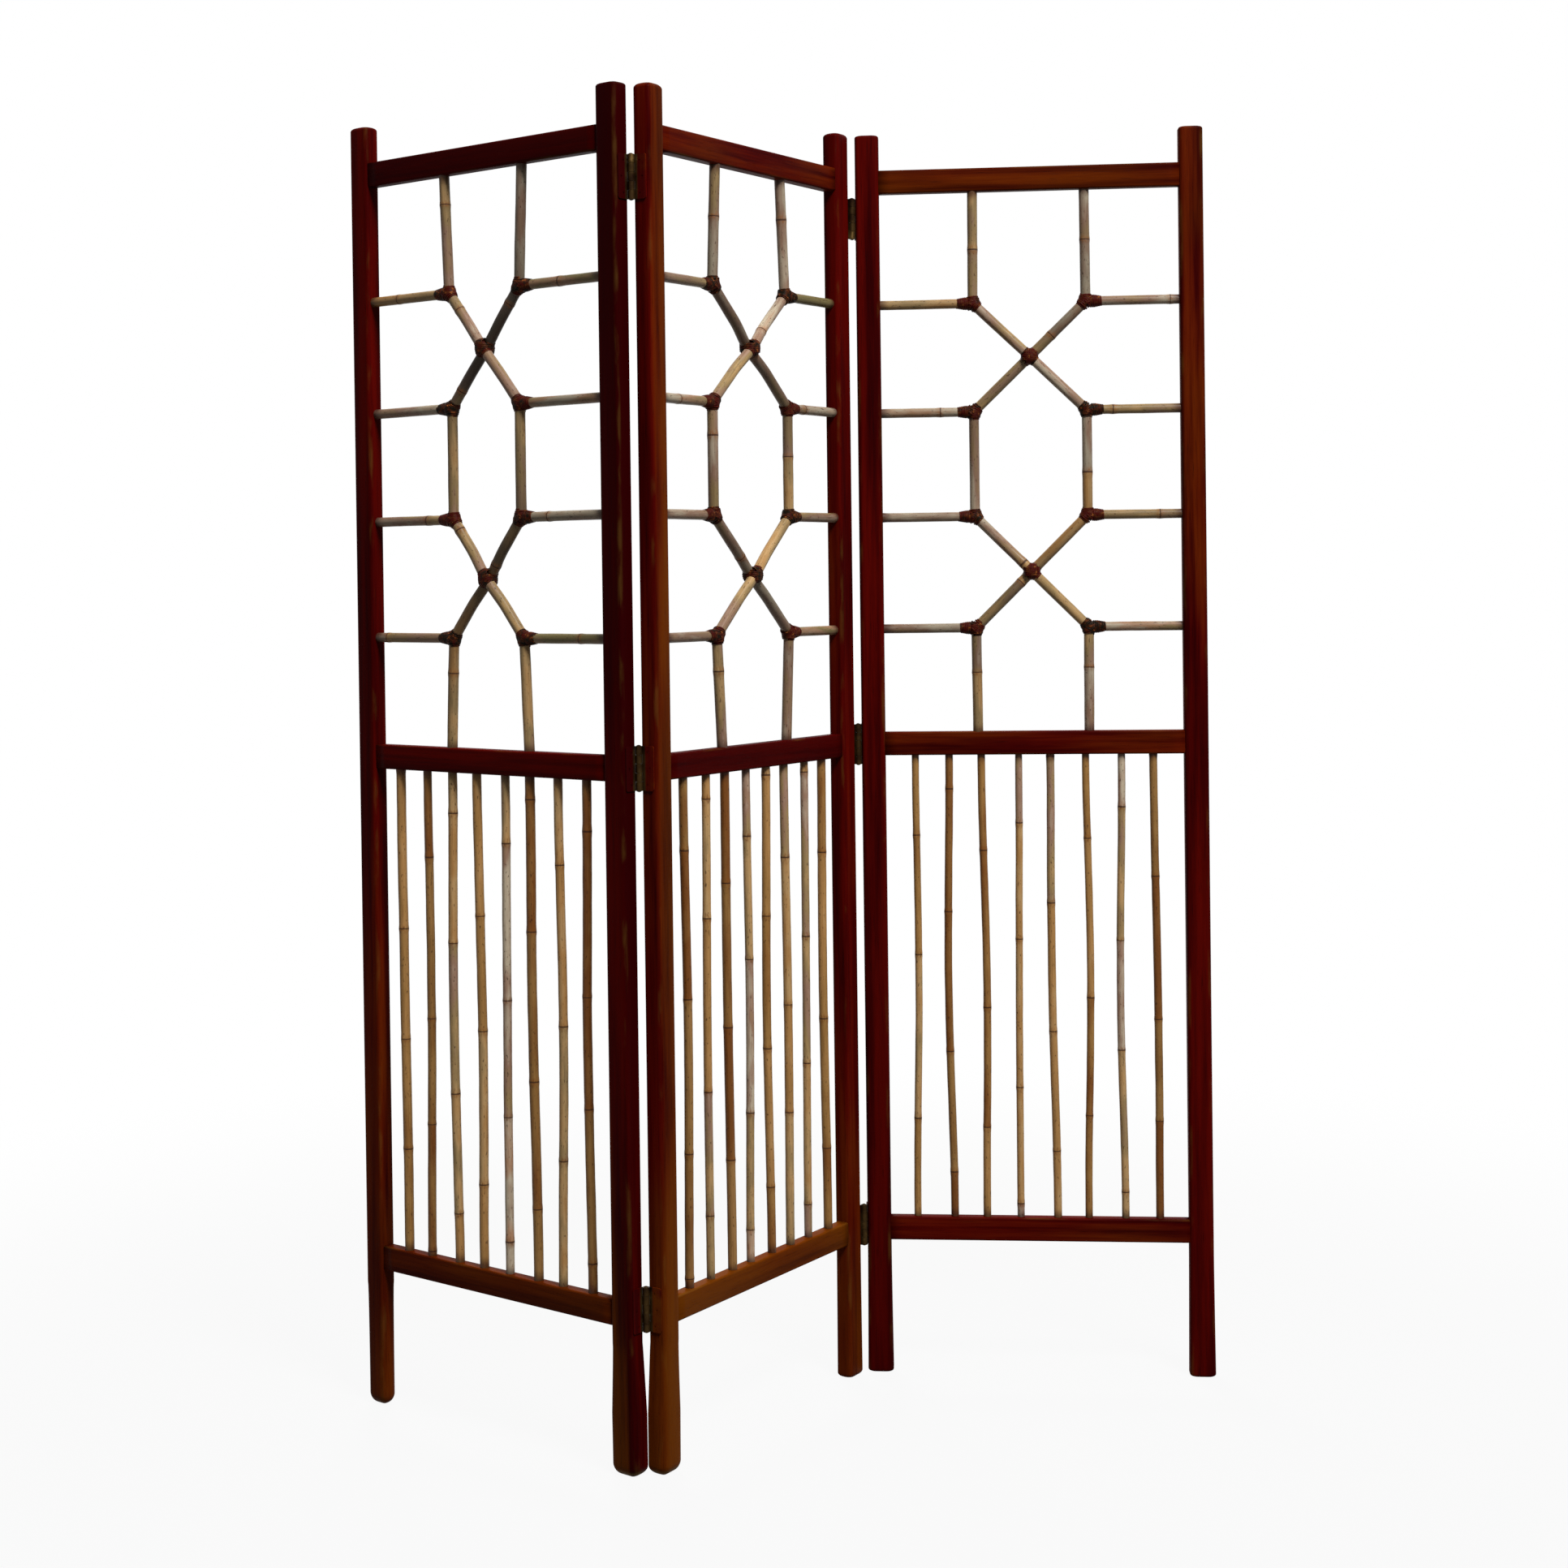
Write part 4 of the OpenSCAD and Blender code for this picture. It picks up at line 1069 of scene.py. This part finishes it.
def crossWindings(panel, crossing):
    start, end = slope(panel, -1, crossing)
    way, middle = (end - start).normalized(), (start + end) / 2
    strand = 70.0 + 3 * crossing + len(panel)

    def aroundMiddle(axis, turns):
        reach = lashing["pitch"] * turns / 2
        return [middle - axis * reach, middle, middle + axis * reach]

    paths = []
    through = cane["over"] + cane["radius"] + lashing["knotLift"]
    radius = cane["radius"] + lashing["knotSpare"]
    depths = [through * lashing["knotTaper"], through, through * lashing["knotTaper"]]
    for k, (axis, share) in enumerate(((Vector((1, 0)), way.x), (Vector((0, 1)), way.y))):
        inMiddle, atEnds = (radius / abs(share) * pull for pull in lashing["knotPull"])
        paths.append(winding(
            aroundMiddle(axis, lashing["knotTurns"]), midY, [atEnds, inMiddle, atEnds], depths,
            strand + 0.5 * k, square=lashing["knotSquare"],
        ))
    ends = cane["radius"] - lashing["thickness"] / 2
    sizes = [ends, radius, ends]
    for side in (-1, 1):  # and turns round each of the two canes
        start, end = slope(panel, side, crossing)
        paths.append(winding(
            aroundMiddle((end - start).normalized(), lashing["ownTurns"]),
            overY(panel, side, crossing), sizes, sizes, strand + 1.5 + 0.5 * side,
        ))
    return paths


winds = windTree()
sizes = {
    "Pitch": lashing["pitch"], "Steps": lashing["stepsPerTurn"], "Peel Width": lashing["width"],
    "Peel Thickness": lashing["thickness"], "Material": peelWrap,
}
for panel in places:
    joints = [(edge, row) for edge in (-1, 1) for row in range(4)]
    paths = [path for edge, row in joints for path in jointWindings(panel, edge, row)]
    piece = grow(f"{panel}_joint_wraps", paths, winds, panel, sizes)
    ridePanel(piece, panel, "peel", f"{panel}_joint_lashings")
    paths = [path for crossing in (0, 1) for path in crossWindings(panel, crossing)]
    piece = grow(f"{panel}_cross_wraps", paths, winds, panel, sizes)
    ridePanel(piece, panel, "peel", f"{panel}_cross_lashings")
print("lashings wound")

# The hinges and the screws keep their own shapes

hingePosts = {  # of the leaves and screws of each fold, the post that they lie on
    "left_inner": ("left", "inner"), "left_outer": ("middle", "left"),
    "right_outer": ("middle", "right"), "right_inner": ("right", "inner"),
}
sideOf = {
    "left_panel_screws": "left_inner", "middle_left_screws": "left_outer",
    "middle_right_screws": "right_outer", "right_panel_screws": "right_inner",
}
metals = {}
for side, which in hingePosts.items():
    # each leaf copies its post's painted light and shade, down to the painted shade of the side
    # turned into the fold
    darker = max(post["darkSides"].get(which, (0, 0)))
    browns = [max(-1, brown - darker) for brown in post["posts"][which][4]]
    metals[side] = metalFinish(f"{side}_metal", browns)
for name, node in frame["nodes"].items():
    if "hinge" in name:
        sideOf[name] = name.split("_")[0] + ("_inner" if "inner" in name else "_outer")
    if name in sideOf:
        node.data.materials.clear()
        node.data.materials.append(metals[sideOf[name]])
print("metal dressed")

stage = {
    "floorSize": 14,
    "floorColour": (0.2, 0.2, 0.2, 1.0),
    "floorWhite": (0.93, 1.0),  # share of plain white, near the screen and far off
    "floorFade": (0.9, 2.6),  # from the middle, where it starts and where it is full
    "worldFill": 0.06,
    "lampDistance": 6.0,
    "lampSize": 1.6,
    "lamps": {  # direction and power
        "key": ((0.30, -0.52, 0.80), 530),
        "back": ((-0.10, 0.62, 0.78), 330),
    },
    "glossy": ("key",),  # the back lamp would leave glints along the edges of the canes
}


def seenRays(tree):  # 1 for rays that show the background, also off gloss and through glass
    rays = tree.nodes.new("ShaderNodeLightPath")
    kinds = [Wire(rays.outputs[f"Is {kind} Ray"]) for kind in ("Camera", "Glossy", "Transmission")]
    return (kinds[0] + kinds[1] + kinds[2]).math("MINIMUM", 1.0)


half = stage["floorSize"] / 2
corners = [(-half, -half, 0), (half, -half, 0), (half, half, 0), (-half, half, 0)]
floorMesh = bpy.data.meshes.new("floor")
floorMesh.from_pydata(corners, [], [(0, 1, 2, 3)])
floor = addObject("floor", floorMesh)

paleFloor = bpy.data.materials.new("paleFloor")
paleFloor.use_nodes = True
tree = paleFloor.node_tree
tree.nodes.clear()
distance = onVectors("LENGTH", objectPlace(tree), output="Value")
near, far = stage["floorWhite"]
white = seenRays(tree) * (fade(distance, *stage["floorFade"]) * (far - near) + near)
matt = Wire.node(tree, "ShaderNodeBsdfDiffuse", None, {"Color": stage["floorColour"]})
glow = Wire.node(tree, "ShaderNodeEmission", None, {"Color": (1, 1, 1, 1), "Strength": 1.0})
both = Wire.node(tree, "ShaderNodeMixShader", None, {0: white, 1: matt, 2: glow})
tree.links.new(both.socket, tree.nodes.new("ShaderNodeOutputMaterial").inputs["Surface"])
floorMesh.materials.append(paleFloor)

world = bpy.data.worlds.new("paleWorld")
scene.world = world
world.use_nodes = True
tree = world.node_tree
strength = seenRays(tree) * (1 - stage["worldFill"]) + stage["worldFill"]
background = tree.nodes["Background"]
background.inputs["Color"].default_value = (1, 1, 1, 1)
tree.links.new(strength.socket, background.inputs["Strength"])

for name, (direction, power) in stage["lamps"].items():
    lamp = bpy.data.lights.new(name + "Lamp", "AREA")
    lamp.energy, lamp.size = power, stage["lampSize"]
    holder = addObject(name + "Lamp", lamp)
    aim = Vector(direction).normalized()
    lampPlace = Vector((0, 0, screen["height"] / 2)) + aim * stage["lampDistance"]
    turn = aim.to_track_quat("Z", "Y").to_matrix().to_4x4()
    holder.matrix_world = Matrix.Translation(lampPlace) @ turn
    holder.visible_glossy = name in stage["glossy"]

view = {
    "fromLeftFold": (70.6 * mm, -3179.9 * mm),
    "height": 1162.6 * mm,
    "turn": 0.249,  # degrees to the right of +Y
    "lookUp": -0.795,
    "roll": -0.754,
    "lens": 56.623,
    "sensor": 36,
    "shift": (0.0521, -0.11),
}
lens = bpy.data.cameras.new("camera")
lens.lens, lens.sensor_width = view["lens"], view["sensor"]
lens.shift_x, lens.shift_y = view["shift"]
camera = addObject("camera", lens)
fromX, fromY = view["fromLeftFold"]
where = Vector((folds["fold_left"].x + fromX, folds["fold_left"].y + fromY, view["height"]))
camera.matrix_world = (
    Matrix.Translation(where)
    @ Matrix.Rotation(radians(-view["turn"]), 4, "Z")
    @ Matrix.Rotation(radians(90 + view["lookUp"]), 4, "X")
    @ Matrix.Rotation(radians(view["roll"]), 4, "Z")
)
scene.camera = camera
scene.view_settings.view_transform = "Standard"
print("stage set")
